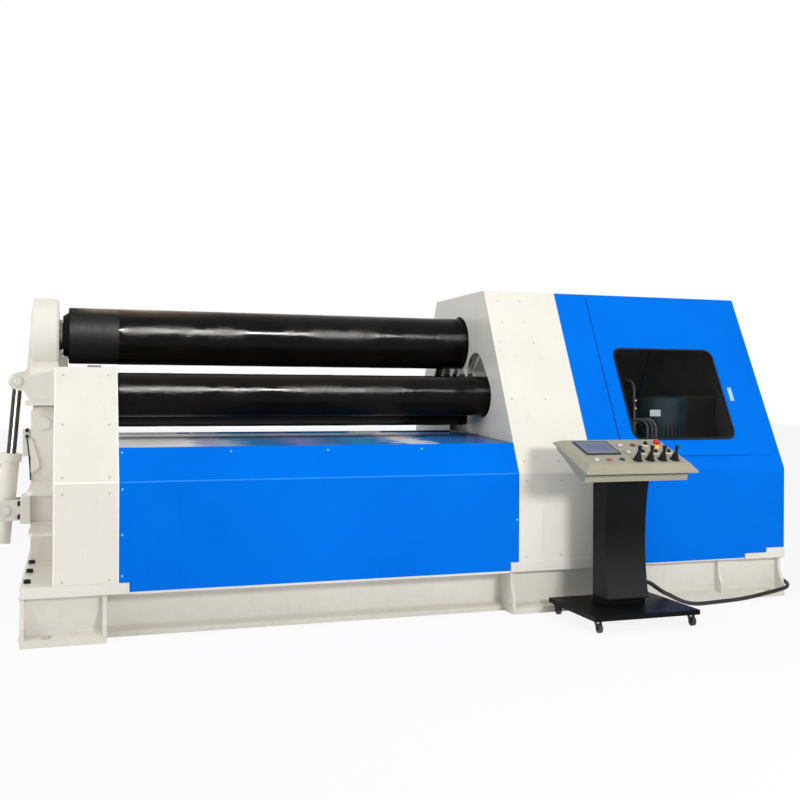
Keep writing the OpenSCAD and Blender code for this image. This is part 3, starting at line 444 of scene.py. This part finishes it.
# ---------------------------------------------------------------- roll blocks
# The rolls' ends run in sliding bearing blocks of cast iron, held between the frames'
# guides and lightly oiled. Upright grinding leaves fine parallel lines on them.
block_iron = coat("block_iron", chip(150, 148, 143), chip(96, 93, 88), patch=11, grain=95,
                  depth=0.00006, rough=(0.22, 0.42), stretch=(1, 1, 14), Metallic=0.9)
dress(block_iron, "bottom_roll_blocks", "front_roll_blocks", "rear_roll_blocks", "bearing_ring")

# ---------------------------------------------------------------- rolls
# Four forged steel rolls, blued and oiled. Each barrel is wound for transport with
# thin dark plastic film, whose creased turns catch the lamps.
roll_steel = coat("roll_steel", chip(33, 35, 33), chip(22, 24, 23), patch=7, grain=210, depth=0.00008,
                  rough=(0.46, 0.6), stretch=(2.5, 1, 1), Metallic=0.05, Specular_IOR_Level=0.06)
# Warm painted sheen along the top of the top roll's bare end near the drop end: a painted reflection.
painted_top_sheen = put(roll_steel.node_tree, "Math", {0: along(roll_steel, "Z", 1.69, 1.76),
                                          1: along(roll_steel, "X", -2.0, -1.86)}, operation="MULTIPLY")
stain(roll_steel, painted_top_sheen.outputs[0], chip(168, 142, 116), "ADD")
dress(roll_steel, "top_roll", "bottom_roll", "front_roll", "rear_roll")
bpy.data.collections["tube_lamp_pieces"].objects.link(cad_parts["top_roll"])


def film_finish(name, around):
    """Stretch film over oiled steel: near black, glossy, with patches where fine creases run along
    and askew round the roll and the gloss turns dull. Towards the drop end a painted sheen is
    added: colours at given shares of the half turn from the top to the bottom."""
    material, tree, shader = new_finish(name, Specular_IOR_Level=0.07)
    found = put(tree, "Attribute", attribute_name="unrolled").outputs["Vector"]
    place = put(tree, "Mapping", {"Vector": found, "Scale": (1, 1, 0)}).outputs["Vector"]
    broad = put(tree, "TexNoise", {"Vector": place, "Scale": 3.1, "Detail": 5.0, "Roughness": 0.62})
    patch = put(tree, "MapRange", {"Value": broad.outputs["Fac"], "From Min": 0.44, "From Max": 0.58})
    askew = put(tree, "Mapping", {"Vector": place, "Rotation": (0, 0, 0.16), "Scale": (15.0, 52.0, 1.0)})
    counter = put(tree, "Mapping", {"Vector": place, "Rotation": (0, 0, -0.42),
                                    "Scale": (19.0, 64.0, 1.0)})
    fibre = put(tree, "TexNoise", {"Vector": askew.outputs["Vector"], "Scale": 4.2, "Detail": 8.0,
                                   "Roughness": 0.78, "Distortion": 0.6})
    cross = put(tree, "TexNoise", {"Vector": counter.outputs["Vector"], "Scale": 2.2, "Detail": 6.0,
                                   "Roughness": 0.7})
    both = put(tree, "Math", {0: fibre.outputs["Fac"], 1: cross.outputs["Fac"]}, operation="ADD")
    deep = put(tree, "MapRange", {"Value": patch.outputs["Result"], "To Min": 0.2, "To Max": 1.0})
    creased = put(tree, "Bump", {"Height": both.outputs[0], "Strength": deep.outputs["Result"],
                                 "Distance": 0.0011})
    shade = put(tree, "ValToRGB", {"Fac": broad.outputs["Fac"]})
    low, high = shade.color_ramp.elements
    low.position, high.position = 0.35, 0.72
    low.color, high.color = chip(13, 12, 10), chip(26, 22, 18)
    dull = put(tree, "MapRange", {"Value": patch.outputs["Result"], "To Min": 0.1, "To Max": 0.15})
    apart = put(tree, "SeparateXYZ", {0: found}).outputs
    turn = put(tree, "Math", {0: apart["Z"]}, operation="ABSOLUTE").outputs[0]
    half_turn = put(tree, "MapRange", {"Value": turn, "From Max": np.pi}).outputs["Result"]
    painted_sheen = put(tree, "ValToRGB", {"Fac": half_turn})
    painted_sheen.color_ramp.elements[0].color, painted_sheen.color_ramp.elements[1].color = around[0][1], around[-1][1]
    for at, tint in around[1:-1]:
        painted_sheen.color_ramp.elements.new(at).color = tint
    # The painted sheen shows only towards the drop end, broken into patches by noise.
    near = put(tree, "MapRange", {"Value": apart["X"], "From Min": -1.05, "From Max": -1.45},
               interpolation_type="SMOOTHSTEP")
    gaps = put(tree, "TexNoise", {"Vector": place, "Scale": 3.0, "Detail": 2.0})
    shown = put(tree, "MapRange", {"Value": gaps.outputs["Fac"], "From Min": 0.3, "From Max": 0.6})
    sheen_share = put(tree, "Math", {0: near.outputs["Result"], 1: shown.outputs["Result"]},
                 operation="MULTIPLY")
    tree.links.new(shade.outputs["Color"], shader.inputs["Base Color"])
    stain(material, sheen_share.outputs[0], painted_sheen.outputs["Color"], "ADD")
    tree.links.new(dull.outputs["Result"], shader.inputs["Roughness"])
    tree.links.new(creased.outputs["Normal"], shader.inputs["Normal"])
    return material


black = (0, 0, 0, 1)
# Warm glow painted along the top of the top roll's film: a painted reflection.
film_painted_top_sheen = film_finish("film_painted_top_sheen", [(0, chip(236, 196, 156)), (0.09, chip(150, 120, 92)),
                                        (0.17, chip(78, 62, 48)), (0.28, black), (1, black)])
# Pale line painted along the lower edge of the other rolls' films: a painted reflection.
film = film_finish("film_painted_edge_line", [(0, black), (0.9, black), (0.93, chip(120, 140, 155)),
                                 (0.97, chip(120, 140, 155)), (1, black)])


def wound_film(name, axis_y, axis_z, radius, start, stop, body, seed, rows=600, facets=150,
               finish=film):
    """Film round a roll: a tube whose radius rises by a sum of creases, each the ridge of a sine
    wave that runs a whole number of times round the roll and slopes along it. A broad wave fades
    the creases in and out, and overlapping turns add small helical steps."""
    thick, ridge, overlap, waves = 0.0009, 0.00028, 0.0004, 26
    chance = np.random.default_rng(seed)
    x = np.linspace(start, stop, rows)[:, None]
    a = (np.arange(facets) * 2 * np.pi / facets)[None, :]
    turns, steep = chance.integers(-3, 4, waves), chance.uniform(14, 120, waves)
    phase, share = chance.uniform(0, 2 * np.pi, waves), chance.uniform(0.3, 1.0, waves)
    wave = turns * a[..., None] + steep * x[..., None] + phase
    crease = ((1 - np.abs(np.sin(wave))) ** 7 * share).sum(-1)
    fade = 0.5 + 0.5 * np.sin(2.3 * x + a + phase[0]) * np.sin(5.1 * x - 2 * a + phase[1])
    step = overlap * (((x / 0.31 + a / (2 * np.pi) + phase[2] / 7) % 1) > 0.5)
    lift = radius + thick + ridge * crease * fade + step
    tube = np.stack([x + 0 * a, axis_y - lift * np.sin(a), axis_z + lift * np.cos(a)], -1)
    inner = tube[[0, -1]].copy()
    inner[..., 1] = axis_y - (radius - 0.001) * np.sin(a)
    inner[..., 2] = axis_z + (radius - 0.001) * np.cos(a)
    grid = np.concatenate([inner[:1], tube, inner[1:]])[None]
    piece = skin(name, grid, finish, body, crease=80)
    flat = np.empty(len(piece.data.vertices) * 3)
    piece.data.vertices.foreach_get("co", flat)
    flat = flat.reshape(-1, 3)
    angle = np.arctan2(axis_y - flat[:, 1], flat[:, 2] - axis_z)
    unrolled = piece.data.attributes.new("unrolled", "FLOAT_VECTOR", "POINT")
    unrolled.data.foreach_set("vector", np.stack([flat[:, 0], angle * radius, angle], 1).ravel())
    bpy.data.collections["tube_lamp_pieces"].objects.link(piece)


top_z, bottom_z, side_y, side_z = 1.574, 1.1845, 0.401, 1.234
top_r, side_r, bottom_r = 0.1625, 0.12, 0.14
top_start, film_start, film_stop = -1.735, -1.752, 0.452
wound_film("top_film", 0, top_z, top_r, top_start, film_stop, "top_roll", 3, finish=film_painted_top_sheen)
wound_film("front_film", -side_y, side_z, side_r, film_start, film_stop, "front_roll", 5, 560, 128)
wound_film("rear_film", side_y, side_z, side_r, film_start, film_stop, "rear_roll", 8, 400, 96)
wound_film("bottom_film", 0, bottom_z, bottom_r, film_start, film_stop, "bottom_roll", 13, 400, 96)

# ---------------------------------------------------------------- drop end
# Cast bearing housing that tilts out so that a rolled shell can be drawn off the
# top roll. White enamel covers castings and pin caps, and the piston rod is chromed.
dress(white, "tilt_housing", "tilt_cylinder")
chrome = coat("rod_chrome", chip(86, 85, 82), chip(64, 63, 61), patch=20, grain=1600, depth=0.00002,
              rough=(0.1, 0.18), Metallic=1.0)
dress(chrome, "tilt_rod")
bpy.data.collections["rod_lamp_pieces"].objects.link(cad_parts["tilt_rod"])
lug_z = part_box("tilt_rod")[1].z - 0.044
pin_cap = [(0, 0.0), (0, 0.030), (0.003, 0.030), (0.0042, 0.0285), (0.0042, 0.0255), (0.0028, 0.025),
           (0.0028, 0.0235), (0.0048, 0.0225), (0.0048, 0.0045), (0.0065, 0.0035), (0.0065, 0.0)]
for name, x, y, z, body in (("lug_caps", -2.287, 0.0625, lug_z, "tilt_rod"),
                            ("trunnion_caps", -2.347, 0.091, 0.578, "tilt_barrel")):
    skin(name, np.concatenate([turned([x, s * y, z], (0, s, 0), pin_cap, 40) for s in sides]),
         white, body)

# ---------------------------------------------------------------- covers
# Bent sheet steel, upright below and leaning above, screwed to the frames with
# button-head screws. White at both ends of the rolls. Bright strips along the bends
# and open edges of the left covers are painted highlights.
half, bend_z, lean = 0.943, 0.794, 0.485
slope = math.hypot(1, lean)
dress(white, "left_cover_front", "left_cover_rear", "housing_front", "housing_rear", "housing_side",
      "housing_roof")
painted_screw = coat("painted_screw", chip(214, 208, 200), chip(196, 190, 180), patch=90, grain=1500,
                     depth=0.00005, rough=(0.3, 0.45))
button_screw = [(0, 0.0), (0, 0.0062), (0.001, 0.0062), (0.0022, 0.0052), (0.003, 0.0036),
                (0.0032, 0.0026), (0.0032, 0.0022, 1), (0.0014, 0.0022, 1), (0.0014, 0.0)]


def cover_screws(name, upright, leaning, material):
    """Screws on the front covers and their mirror at the rear, from (X, height) on the upright
    part and (X, distance up the slope) on the leaning part."""
    grids = []
    for side in sides:
        flat = [(x, side * half, z) for x, z in upright]
        tilted = [(x, side * (half - lean * v / slope), bend_z + v / slope) for x, v in leaning]
        grids.append(turned(flat, (0, side, 0), button_screw, 12))
        grids.append(turned(tilted, (0, side / slope, lean / slope), button_screw, 12))
    skin(name, np.concatenate(grids), material, "machine")


left_screw_x, right_screw_x, top_screw_x = (-2.036, -1.812), (0.465, 0.684), (0.503, 0.648)
cover_screws("white_screws",
             [(x, z) for x in left_screw_x for z in (0.313, 0.744)]
             + [(x, z) for x in right_screw_x for z in (0.325, 0.752)],
             [(x, v) for x in left_screw_x for v in (0.033, 0.319, 0.600)]
             + [(x, v) for x in right_screw_x for v in (0.077, 0.472, 0.851)]
             + [(x, v) for x in top_screw_x for v in (0.996, 1.142)], painted_screw)

cover_low, cover_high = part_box("left_cover_front")
# Bright white painted highlights on the covers' bends and open edges, where light catches them.
painted_edge_highlight = coat("white_edge_highlight", chip(255, 253, 246), chip(250, 247, 238), patch=5, grain=500,
              depth=0.00004, rough=(0.2, 0.3))


def bends(start, stop, steps):
    """Grid of the rounded bends at the front and the rear between two places along X."""
    bend_r, inward, upward = 0.006, 0.0051, 0.0012
    return np.concatenate([hose([(x, s * (half - inward), bend_z + upward) for x in (start, stop)],
                                bend_r, steps, 12) for s in sides])


skin("cover_bends", bends(cover_low.x + 0.004, cover_high.x - 0.004, 40), painted_edge_highlight, "machine")
edge_in, edge_foot, edge_top = 0.0032, 0.252, cover_high.z - 0.004
edge_lines = (((edge_foot, 0.0), (bend_z, 0.0)), ((bend_z, 0.0), (edge_top, lean * (edge_top - bend_z))))
skin("cover_edges", np.concatenate([
    hose([(x, s * (half - edge_in - back), z) for z, back in edge_line], 0.0042, 24, 10)
    for s in sides for x in (cover_low.x + edge_in, cover_high.x - edge_in) for edge_line in edge_lines]),
    painted_edge_highlight, "machine")

# ---------------------------------------------------------------- blue panels and decks
# Sheet steel between the frames in blue enamel, with painted highlights along its
# bends. The decks carry painted reflections, pale glare and darker bands along
# their length, and a rubber seam runs along each.
blue = enamel("blue_enamel", chip(0, 117, 233), chip(0, 110, 225), chip(0, 92, 184), floor_dust=0.1,
              Specular_IOR_Level=0.03)
dress(blue, "front_panel", "rear_panel")
# The deck's colour is painted reflection: white glare near the drop end, then pale purple and teal bands
# along its length.
deck_painted_glare, deck_tree, deck_shader = new_finish("deck_reflection_paint", Roughness=0.25, Specular_IOR_Level=0.12)
deck_place = put(deck_tree, "TexCoord").outputs["Object"]
glare_stretch = put(deck_tree, "Mapping", {"Vector": deck_place, "Scale": (3.0, 9.0, 9.0)})
cloud = put(deck_tree, "TexNoise", {"Vector": glare_stretch.outputs["Vector"], "Scale": 2.4, "Detail": 5.0,
                                    "Roughness": 0.6})
drift = put(deck_tree, "MapRange", {"Value": cloud.outputs["Fac"], "From Min": 0.3, "From Max": 0.7,
                                    "To Min": -0.11, "To Max": 0.11})
deck_x = put(deck_tree, "SeparateXYZ", {0: deck_place}).outputs["X"]
moved = put(deck_tree, "Math", {0: deck_x, 1: drift.outputs["Result"]}, operation="ADD")
length = put(deck_tree, "MapRange", {"Value": moved.outputs[0], "From Min": -1.8, "From Max": 0.5})
wiped_and_painted_glare = put(deck_tree, "ValToRGB", {"Fac": length.outputs["Result"]})
wiped_and_painted_glare.color_ramp.elements[0].color, wiped_and_painted_glare.color_ramp.elements[1].color = chip(252, 252, 252), chip(0, 58, 100)
for at, tint in (
        (0.185, chip(252, 252, 252)), (0.205, chip(176, 176, 206)), (0.27, chip(170, 190, 222)),
        (0.3, chip(40, 132, 196)), (0.38, chip(14, 108, 176)), (0.45, chip(128, 134, 196)),
        (0.52, chip(18, 112, 182)), (0.6, chip(24, 150, 206)), (0.66, chip(20, 120, 200)),
        (0.69, chip(240, 244, 250)), (0.74, chip(240, 244, 250)), (0.77, chip(30, 120, 200)),
        (0.86, chip(52, 112, 184))):
    wiped_and_painted_glare.color_ramp.elements.new(at).color = tint
deck_tree.links.new(wiped_and_painted_glare.outputs["Color"], deck_shader.inputs["Base Color"])
dress(deck_painted_glare, "front_deck", "rear_deck")
deck_low, deck_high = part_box("front_deck")
seam_share, deck_edge_z = 0.72, 0.966
seam_y = deck_low.y + seam_share * (deck_high.y - deck_low.y)
seam_z = deck_edge_z + seam_share * (deck_high.z - deck_edge_z) + 0.0006
skin("deck_seams", np.concatenate([
    hose([(x, s * seam_y, seam_z) for x in (deck_low.x + 0.004, deck_high.x - 0.004)], 0.0022, 60, 8)
    for s in sides]), hose_rubber, "machine")
blue_screw = coat("blue_screw", chip(110, 214, 250), chip(84, 196, 244), patch=90, grain=1500,
                  Specular_IOR_Level=0.4)
cover_screws("panel_screws", [(-1.750, 0.328), (-1.750, 0.534), (-1.750, 0.761), (0.407, 0.535)],
             [(x, 0.163) for x in (-1.750, -1.2, -0.678, -0.142)], blue_screw)
# Light blue painted highlights along the blue panels' bends, where light catches them.
blue_edge_highlight = coat("blue_edge_highlight", chip(24, 140, 250), chip(10, 128, 242), patch=5, grain=500,
                   depth=0.00004, rough=(0.2, 0.3), Specular_IOR_Level=0.3)
skin("panel_bends", bends(cover_high.x + 0.006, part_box("housing_front")[0].x - 0.004, 60),
     blue_edge_highlight, "machine")

# ---------------------------------------------------------------- drive housing
# The right end is closed by blue sheet steel, lined inside with grey felt. An
# inspection panel with rounded corners, a dark seam and a latch plate lies on the
# leaning front and carries the window.
dress(blue, "drive_front", "drive_rear", "drive_end", "drive_roof", "inspection_panel")


def slope_point(x, v, out=0.0):
    """Point on the leaning front: X, distance up the slope from the bend, and height out of
    the sheet."""
    x, v, out = np.broadcast_arrays(x, v, out)
    return np.stack([x, -half + (lean * v - out) / slope, bend_z + (v + lean * out) / slope], -1)


slope_out = (0, -1 / slope, lean / slope)
skin("inspection_screws",
     turned(slope_point([2.152, 2.152], [1.156, 0.803], 0.003), slope_out, button_screw, 12),
     blue, "machine")
panel_low, panel_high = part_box("inspection_panel")
panel_foot, panel_top = (panel_low.z - bend_z) * slope + 0.002, (panel_high.z - bend_z) * slope - 0.002
seam_blue = coat("seam_blue", chip(0, 58, 150), chip(0, 50, 134), patch=12, grain=700,
                 Specular_IOR_Level=0.05)
skin("panel_seam", np.concatenate([hose(slope_point(x, v, 0.0008), 0.0026, 30, 8) for x, v in (
    (np.full(2, panel_low.x - 0.0015), [panel_foot, panel_top]),
    ([panel_low.x, panel_high.x - 0.17], np.full(2, panel_foot - 0.0015)))]),
     seam_blue, "machine")


def slabs(outlines, out, thick):
    """Grid of thin plates: each outline of points is carried along its outward direction by the
    thickness, and a fan from its middle closes both faces."""
    outlines = np.array(outlines, float)
    middle = outlines.mean(1, keepdims=True) + 0 * outlines
    lift = thick * np.array(out, float)[:, None]
    return np.stack([middle, outlines, outlines + lift, middle + lift], 1)


latch_grid = slabs([slope_point([1.981, 2.009, 2.009, 1.981], [0.462, 0.462, 0.554, 0.554], 0.0031)],
                   [slope_out], 0.0016)
latch_blue = coat("latch_plate", chip(168, 216, 250), chip(150, 204, 244), patch=40, grain=900,
                  depth=0.00003, rough=(0.25, 0.35))
skin("latch_plate", latch_grid, latch_blue, "machine")
inner_x, outer_x, end_wall_x, floor_z = 0.97, 2.19, 2.2, 0.8
roof_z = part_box("drive_roof")[1].z - 0.03
low_y, high_y = half - 0.035 - lean * (np.array([floor_z, roof_z]) - bend_z)
lining = coat("lining_felt", chip(170, 168, 160), chip(140, 139, 134), patch=3, grain=300,
              depth=0.0004, rough=(0.8, 0.95), Specular_IOR_Level=0.1)
skin("housing_lining", slabs([
    [(inner_x, low_y, floor_z), (outer_x, low_y, floor_z),
     (outer_x, high_y, roof_z), (inner_x, high_y, roof_z)],
    [(inner_x, -high_y, roof_z), (outer_x, -high_y, roof_z),
     (outer_x, high_y, roof_z), (inner_x, high_y, roof_z)],
    [(end_wall_x, -low_y, floor_z), (end_wall_x, low_y, floor_z),
     (end_wall_x, high_y, roof_z), (end_wall_x, -high_y, roof_z)]],
    [(0, 1, 0), (0, 0, 1), (1, 0, 0)], 0.006), lining, "machine")

# ---------------------------------------------------------------- tank, pump motor and hoses
# Behind the window an oil tank of folded steel carries the upright pump motor, a
# valve cabinet and the pressure hoses.
tank_grey = coat("tank_enamel", chip(122, 118, 104), chip(104, 100, 88), patch=5, grain=420,
                 rough=(0.4, 0.55))
dress(tank_grey, "oil_tank")
motor_teal = coat("motor_enamel", chip(48, 72, 80), chip(36, 56, 64), patch=6, grain=420, rough=(0.3, 0.42))
dress(motor_teal, "pump_motor")
motor_x, tank_z = 1.7, 0.74
grey_hose = coat("grey_hose", chip(128, 128, 132), chip(96, 96, 100), patch=14, grain=900, rough=(0.4, 0.55))
skin("tank_hoses", np.concatenate([
    hose([(x, -0.585, tank_z), (x + 0.004, -0.592, 0.86), (x + 0.012, -0.59, 0.98), (x + 0.012, -0.575, 1.06),
          (x - 0.03, -0.53, 1.09), (x - 0.1, -0.48, 1.02), (x - 0.12, -0.46, tank_z)], size)
    for x, size in ((1.462, 0.007), (1.497, 0.005), (1.523, 0.009))]), grey_hose, "machine")
skin("riser_pipe", hose([(1.432, -0.5, tank_z), (1.433, -0.5, 1.0), (1.431, -0.5, 1.24), (1.428, -0.47, 1.33),
                         (1.40, -0.3, 1.35)], 0.008), grey_hose, "machine")
trim_grey = coat("cabinet_trim", chip(206, 204, 194), chip(186, 184, 174), rough=(0.4, 0.5))
skin("cabinet_trim", hose([(motor_x + x, -0.3005, 1.2345) for x in (0.224, 0.484)], 0.0028, 2, 8),
     trim_grey, "machine")
bright = coat("bare_plate", chip(250, 252, 252), chip(240, 244, 244), patch=40, grain=900,
              rough=(0.2, 0.3), Metallic=1.0)
pipe_nut = [(0, 0), (0, 0.008), (0.012, 0.008), (0.014, 0.005), (0.014, 0)]
skin("pipe_nuts", turned([(1.433, -0.508, z) for z in (1.158, 1.208)], (0, -1, 0), pipe_nut, 12),
     bright, "machine")

plate_turn = math.radians(-24)
plate_mid = np.array([1.565, -0.536, 1.13])
plate_across = np.array([math.cos(plate_turn), math.sin(plate_turn), 0])
plate_out = (math.sin(plate_turn), -math.cos(plate_turn), 0)
plate_corners = ((-0.033, -0.021), (0.033, -0.021), (0.033, 0.021), (-0.033, 0.021))
skin("motor_plate",
     slabs([[plate_mid + a * plate_across + (0, 0, b) for a, b in plate_corners]], [plate_out], 0.0015),
     bright, "machine")

# ---------------------------------------------------------------- window
# Smoked safety glass with rounded corners. A black rubber profile, pressed round the
# opening of the inspection panel, holds it.
seal_rubber = coat("window_rubber", chip(24, 27, 30), chip(16, 18, 20), patch=18, grain=700, depth=0.0001,
                   rough=(0.38, 0.5), Specular_IOR_Level=0.2)
dress(seal_rubber, "window_seal")
smoked_glass = clouded("smoked_glass", chip(10, 11, 12), chip(18, 19, 20), patch=5.0, detail=4.0,
                       Roughness=0.02, IOR=1.2, Alpha=0.15)
dress(smoked_glass, "window_pane")

# ---------------------------------------------------------------- console base and casters
# A black plate on four swivel casters, so that the operator can roll the console
# along the machine. The forks are pressed steel, the wheels grey rubber.
console_black = coat("console_enamel", chip(18, 20, 21), chip(12, 14, 14), patch=6, grain=800, depth=0.00015,
                     rough=(0.38, 0.52), Specular_IOR_Level=0.08)
plate_black = coat("plate_enamel", chip(11, 14, 14), chip(7, 9, 10), patch=6, grain=800, depth=0.00012,
                   rough=(0.4, 0.5), Specular_IOR_Level=0.1)
dress(plate_black, "console_base")
# The column is painted lighter from just above its foot up to about half a metre: a painted reflection of the
# floor.
low_painted_reflection = put(console_black.node_tree, "Math", {
    0: along(console_black, "Z", 0.55, 0.05), 1: along(console_black, "Z", 0.128, 0.134)},
    operation="MULTIPLY")
stain(console_black, low_painted_reflection.outputs[0], chip(50, 53, 52))
dress(console_black, "console_column")
caster_steel = coat("caster_steel", chip(60, 60, 60), chip(40, 40, 40), patch=60, grain=900,
                    rough=(0.3, 0.45), Metallic=0.6)
tyre = coat("caster_tyre", chip(62, 62, 62), chip(44, 44, 44), patch=60, grain=900, rough=(0.5, 0.65))
dress(caster_steel, *(f"caster_fork_{number}" for number in range(1, 5)))
dress(tyre, *(f"caster_wheel_{number}" for number in range(1, 5)))

# ---------------------------------------------------------------- console desk
# The desk is folded sheet in textured beige enamel, with a dark strip painted along its tray as the shadow
# under its rim.
# On it sit the screen, keys in bright rings, selectors, the stop knob and four levers
# in moulded boots.
desk_beige = coat("desk_enamel", chip(163, 159, 139), chip(155, 151, 131), patch=5, grain=900, depth=0.00022,
                  rough=(0.42, 0.55))
dress(desk_beige, "console_desk")
desk_front = np.array([0.915, -1.478, 0.862])
desk_tilt = math.radians(19.6)
desk_up = np.array([0, -math.sin(desk_tilt), math.cos(desk_tilt)])
desk_back = np.array([0, math.cos(desk_tilt), math.sin(desk_tilt)])


def on_desk(u, v, w=0.0):
    """Point on the desk: across from its middle, back from its front edge, and out of its face."""
    u, v, w = (a[..., None] for a in np.broadcast_arrays(u, v, w))
    return desk_front + u * np.array([1.0, 0, 0]) + v * desk_back + w * desk_up


screen_glass = clouded("screen_glass", chip(112, 114, 120), chip(138, 140, 146), patch=9.0, detail=3.0,
                       Roughness=0.3, Specular_IOR_Level=0.12)
screen_frame = coat("screen_frame", chip(44, 50, 58), chip(34, 38, 46), patch=20, grain=900,
                    rough=(0.35, 0.45))
dress(screen_frame, "console_screen")


def raised(u0, v0, u1, v1, low, high, edge, corner):
    """Grid of a low pad on the desk with rounded corners: its outline is a square wave pulled
    towards a circle at the corners, carried up and then in over a softened edge."""
    a = (np.arange(48) + 0.5) * 2 * np.pi / 48
    c, s = np.cos(a), np.sin(a)
    mid_u, mid_v = (u0 + u1) / 2, (v0 + v1) / 2
    wide, deep = (u1 - u0) / 2 - corner, (v1 - v0) / 2 - corner
    rows = [on_desk(mid_u + 0 * c, mid_v + 0 * s, low)]
    for w, inset in ((low, 0), (high - edge, 0), (high, edge), (high, corner + min(wide, deep))):
        ring, less = max(corner - inset, 0), max(inset - corner, 0)
        rows.append(on_desk(mid_u + np.sign(c) * (wide - less) + ring * c,
                            mid_v + np.sign(s) * (deep - less) + ring * s, w))
    rows.append(on_desk(mid_u + 0 * c, mid_v + 0 * s, high))
    return np.stack(rows)[None]


skin("screen_face", raised(-0.261, 0.182, -0.072, 0.340, 0.004, 0.0078, 0.0008, 0.004),
     screen_glass, "machine")
bright_ring = coat("bright_ring", chip(200, 198, 190), chip(170, 168, 160), patch=60, grain=1400,
                   depth=0.00003, rough=(0.2, 0.3), Metallic=0.9)


def plastic(name, colour, dark):
    """Moulded plastic: even colour with a slight drift, satin gloss."""
    return coat(name, colour, dark, patch=60, grain=1400, depth=0.00004, rough=(0.28, 0.38))


def on_desk_pieces(name, places, profile, material, facets=28):
    """Turned pieces that stand on the desk at (across, back) places."""
    u, v = np.array(places, float).T
    return skin(name, turned(on_desk(u, v), desk_up, profile, facets), material, "machine")


white_keys, dark_keys = [(-0.254, 0.094), (-0.006, 0.288)], [(-0.1, 0.094)]
orange_keys, red_keys = [(-0.177, 0.094)], [(0.075, 0.288)]
switches = [(0.08, 0.189), (0.162, 0.189), (0.244, 0.189), (0.162, 0.302)]
open_ring = [(-0.008, 0.19)]
all_keys = white_keys + dark_keys + orange_keys + red_keys + switches + open_ring
key_ring = [(0, 0.0), (0, 0.0178), (0.003, 0.0178), (0.0045, 0.0168), (0.0045, 0.0145), (0.003, 0.014),
            (0.003, 0.0)]
cap = [(0.002, 0.0), (0.002, 0.0138), (0.0095, 0.0138), (0.0112, 0.0124), (0.0118, 0.008), (0.012, 0.0)]
rings = on_desk_pieces("key_rings", all_keys, key_ring, bright_ring)
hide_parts("console_buttons")
for name, places, colour, dark in (
        ("white_key", white_keys + open_ring, chip(226, 224, 214), chip(210, 208, 198)),
        ("orange_key", orange_keys, chip(176, 100, 76), chip(156, 86, 64)),
        ("red_key", red_keys, chip(112, 52, 34), chip(92, 42, 28)),
        ("dark_key", dark_keys, chip(40, 36, 66), chip(28, 26, 50))):
    on_desk_pieces(name + "s", places, cap, plastic(name, colour, dark))
black_plastic = plastic("black_plastic", chip(26, 24, 22), chip(16, 15, 14))
knob = [(0.002, 0.0), (0.002, 0.0125), (0.009, 0.0125), (0.0095, 0.0105), (0.019, 0.0095), (0.021, 0.008),
        (0.021, 0.0)]
on_desk_pieces("switch_knobs", switches, knob, black_plastic)
switch_ring = [(0, 0.0178), (0, 0.0205), (0.0045, 0.0205), (0.0065, 0.019), (0.0065, 0.0175)]
ring_white = coat("switch_ring", chip(236, 236, 230), chip(216, 216, 210), patch=60, grain=1400,
                  depth=0.00003, rough=(0.25, 0.35))
on_desk_pieces("switch_rings", switches, switch_ring, ring_white)
stop_place = [(0.208, 0.264)]
stop_collar = [(0, 0.0), (0, 0.0235), (0.004, 0.0235), (0.006, 0.0215), (0.020, 0.0185), (0.022, 0.016),
               (0.022, 0.0)]
stop_knob = [(0.020, 0.0), (0.020, 0.012), (0.023, 0.0135), (0.026, 0.0205), (0.029, 0.0215),
             (0.035, 0.021), (0.040, 0.0175), (0.043, 0.010), (0.044, 0.0)]
stop_yellow = plastic("yellow_collar", chip(255, 214, 128), chip(250, 196, 92))
on_desk_pieces("stop_collar", stop_place, stop_collar, stop_yellow, 40)
stop_red = plastic("stop_red", chip(204, 40, 30), chip(180, 30, 24))
on_desk_pieces("stop_knob", stop_place, stop_knob, stop_red, 40)
lever_black = coat("lever_plastic", chip(24, 21, 15), chip(14, 12, 9), patch=60, grain=1200,
                   depth=0.0001, rough=(0.28, 0.42), Specular_IOR_Level=0.25)
dress(lever_black, "lever_1", "lever_2", "lever_3", "lever_4")
lever_places = [(-0.006 + 0.077 * i, 0.093) for i in range(4)]
boot_flange = [(0, 0.0206), (0, 0.0275), (0.003, 0.0275), (0.006, 0.0245), (0.008, 0.0218),
               (0.008, 0.0206), (0, 0.0206)]
on_desk_pieces("boot_flanges", lever_places, boot_flange, lever_black)
boot = [(0.016, 0.0158), (0.016, 0.0196), (0.019, 0.0194), (0.024, 0.0172), (0.030, 0.0146),
        (0.038, 0.0118), (0.045, 0.0102), (0.049, 0.0092), (0.049, 0.0062)]
for number, lever_place in enumerate(lever_places, 1):
    skin(f"boot_{number}", turned(on_desk(*lever_place), desk_up, boot, 28), lever_black,
         f"lever_{number}")
# Dark strip just under the rim's front: painted shadow of the rim's overhang.
shadow_u = np.array([-0.3285, 0.3005, 0.3005, -0.3285])
shadow_w = np.array([-0.0595, -0.0595, -0.069, -0.069])
skin("rim_painted_shadow", slabs([on_desk(shadow_u, 0.0515, shadow_w)], [-desk_back], 0.0012),
     hose_rubber, "machine")
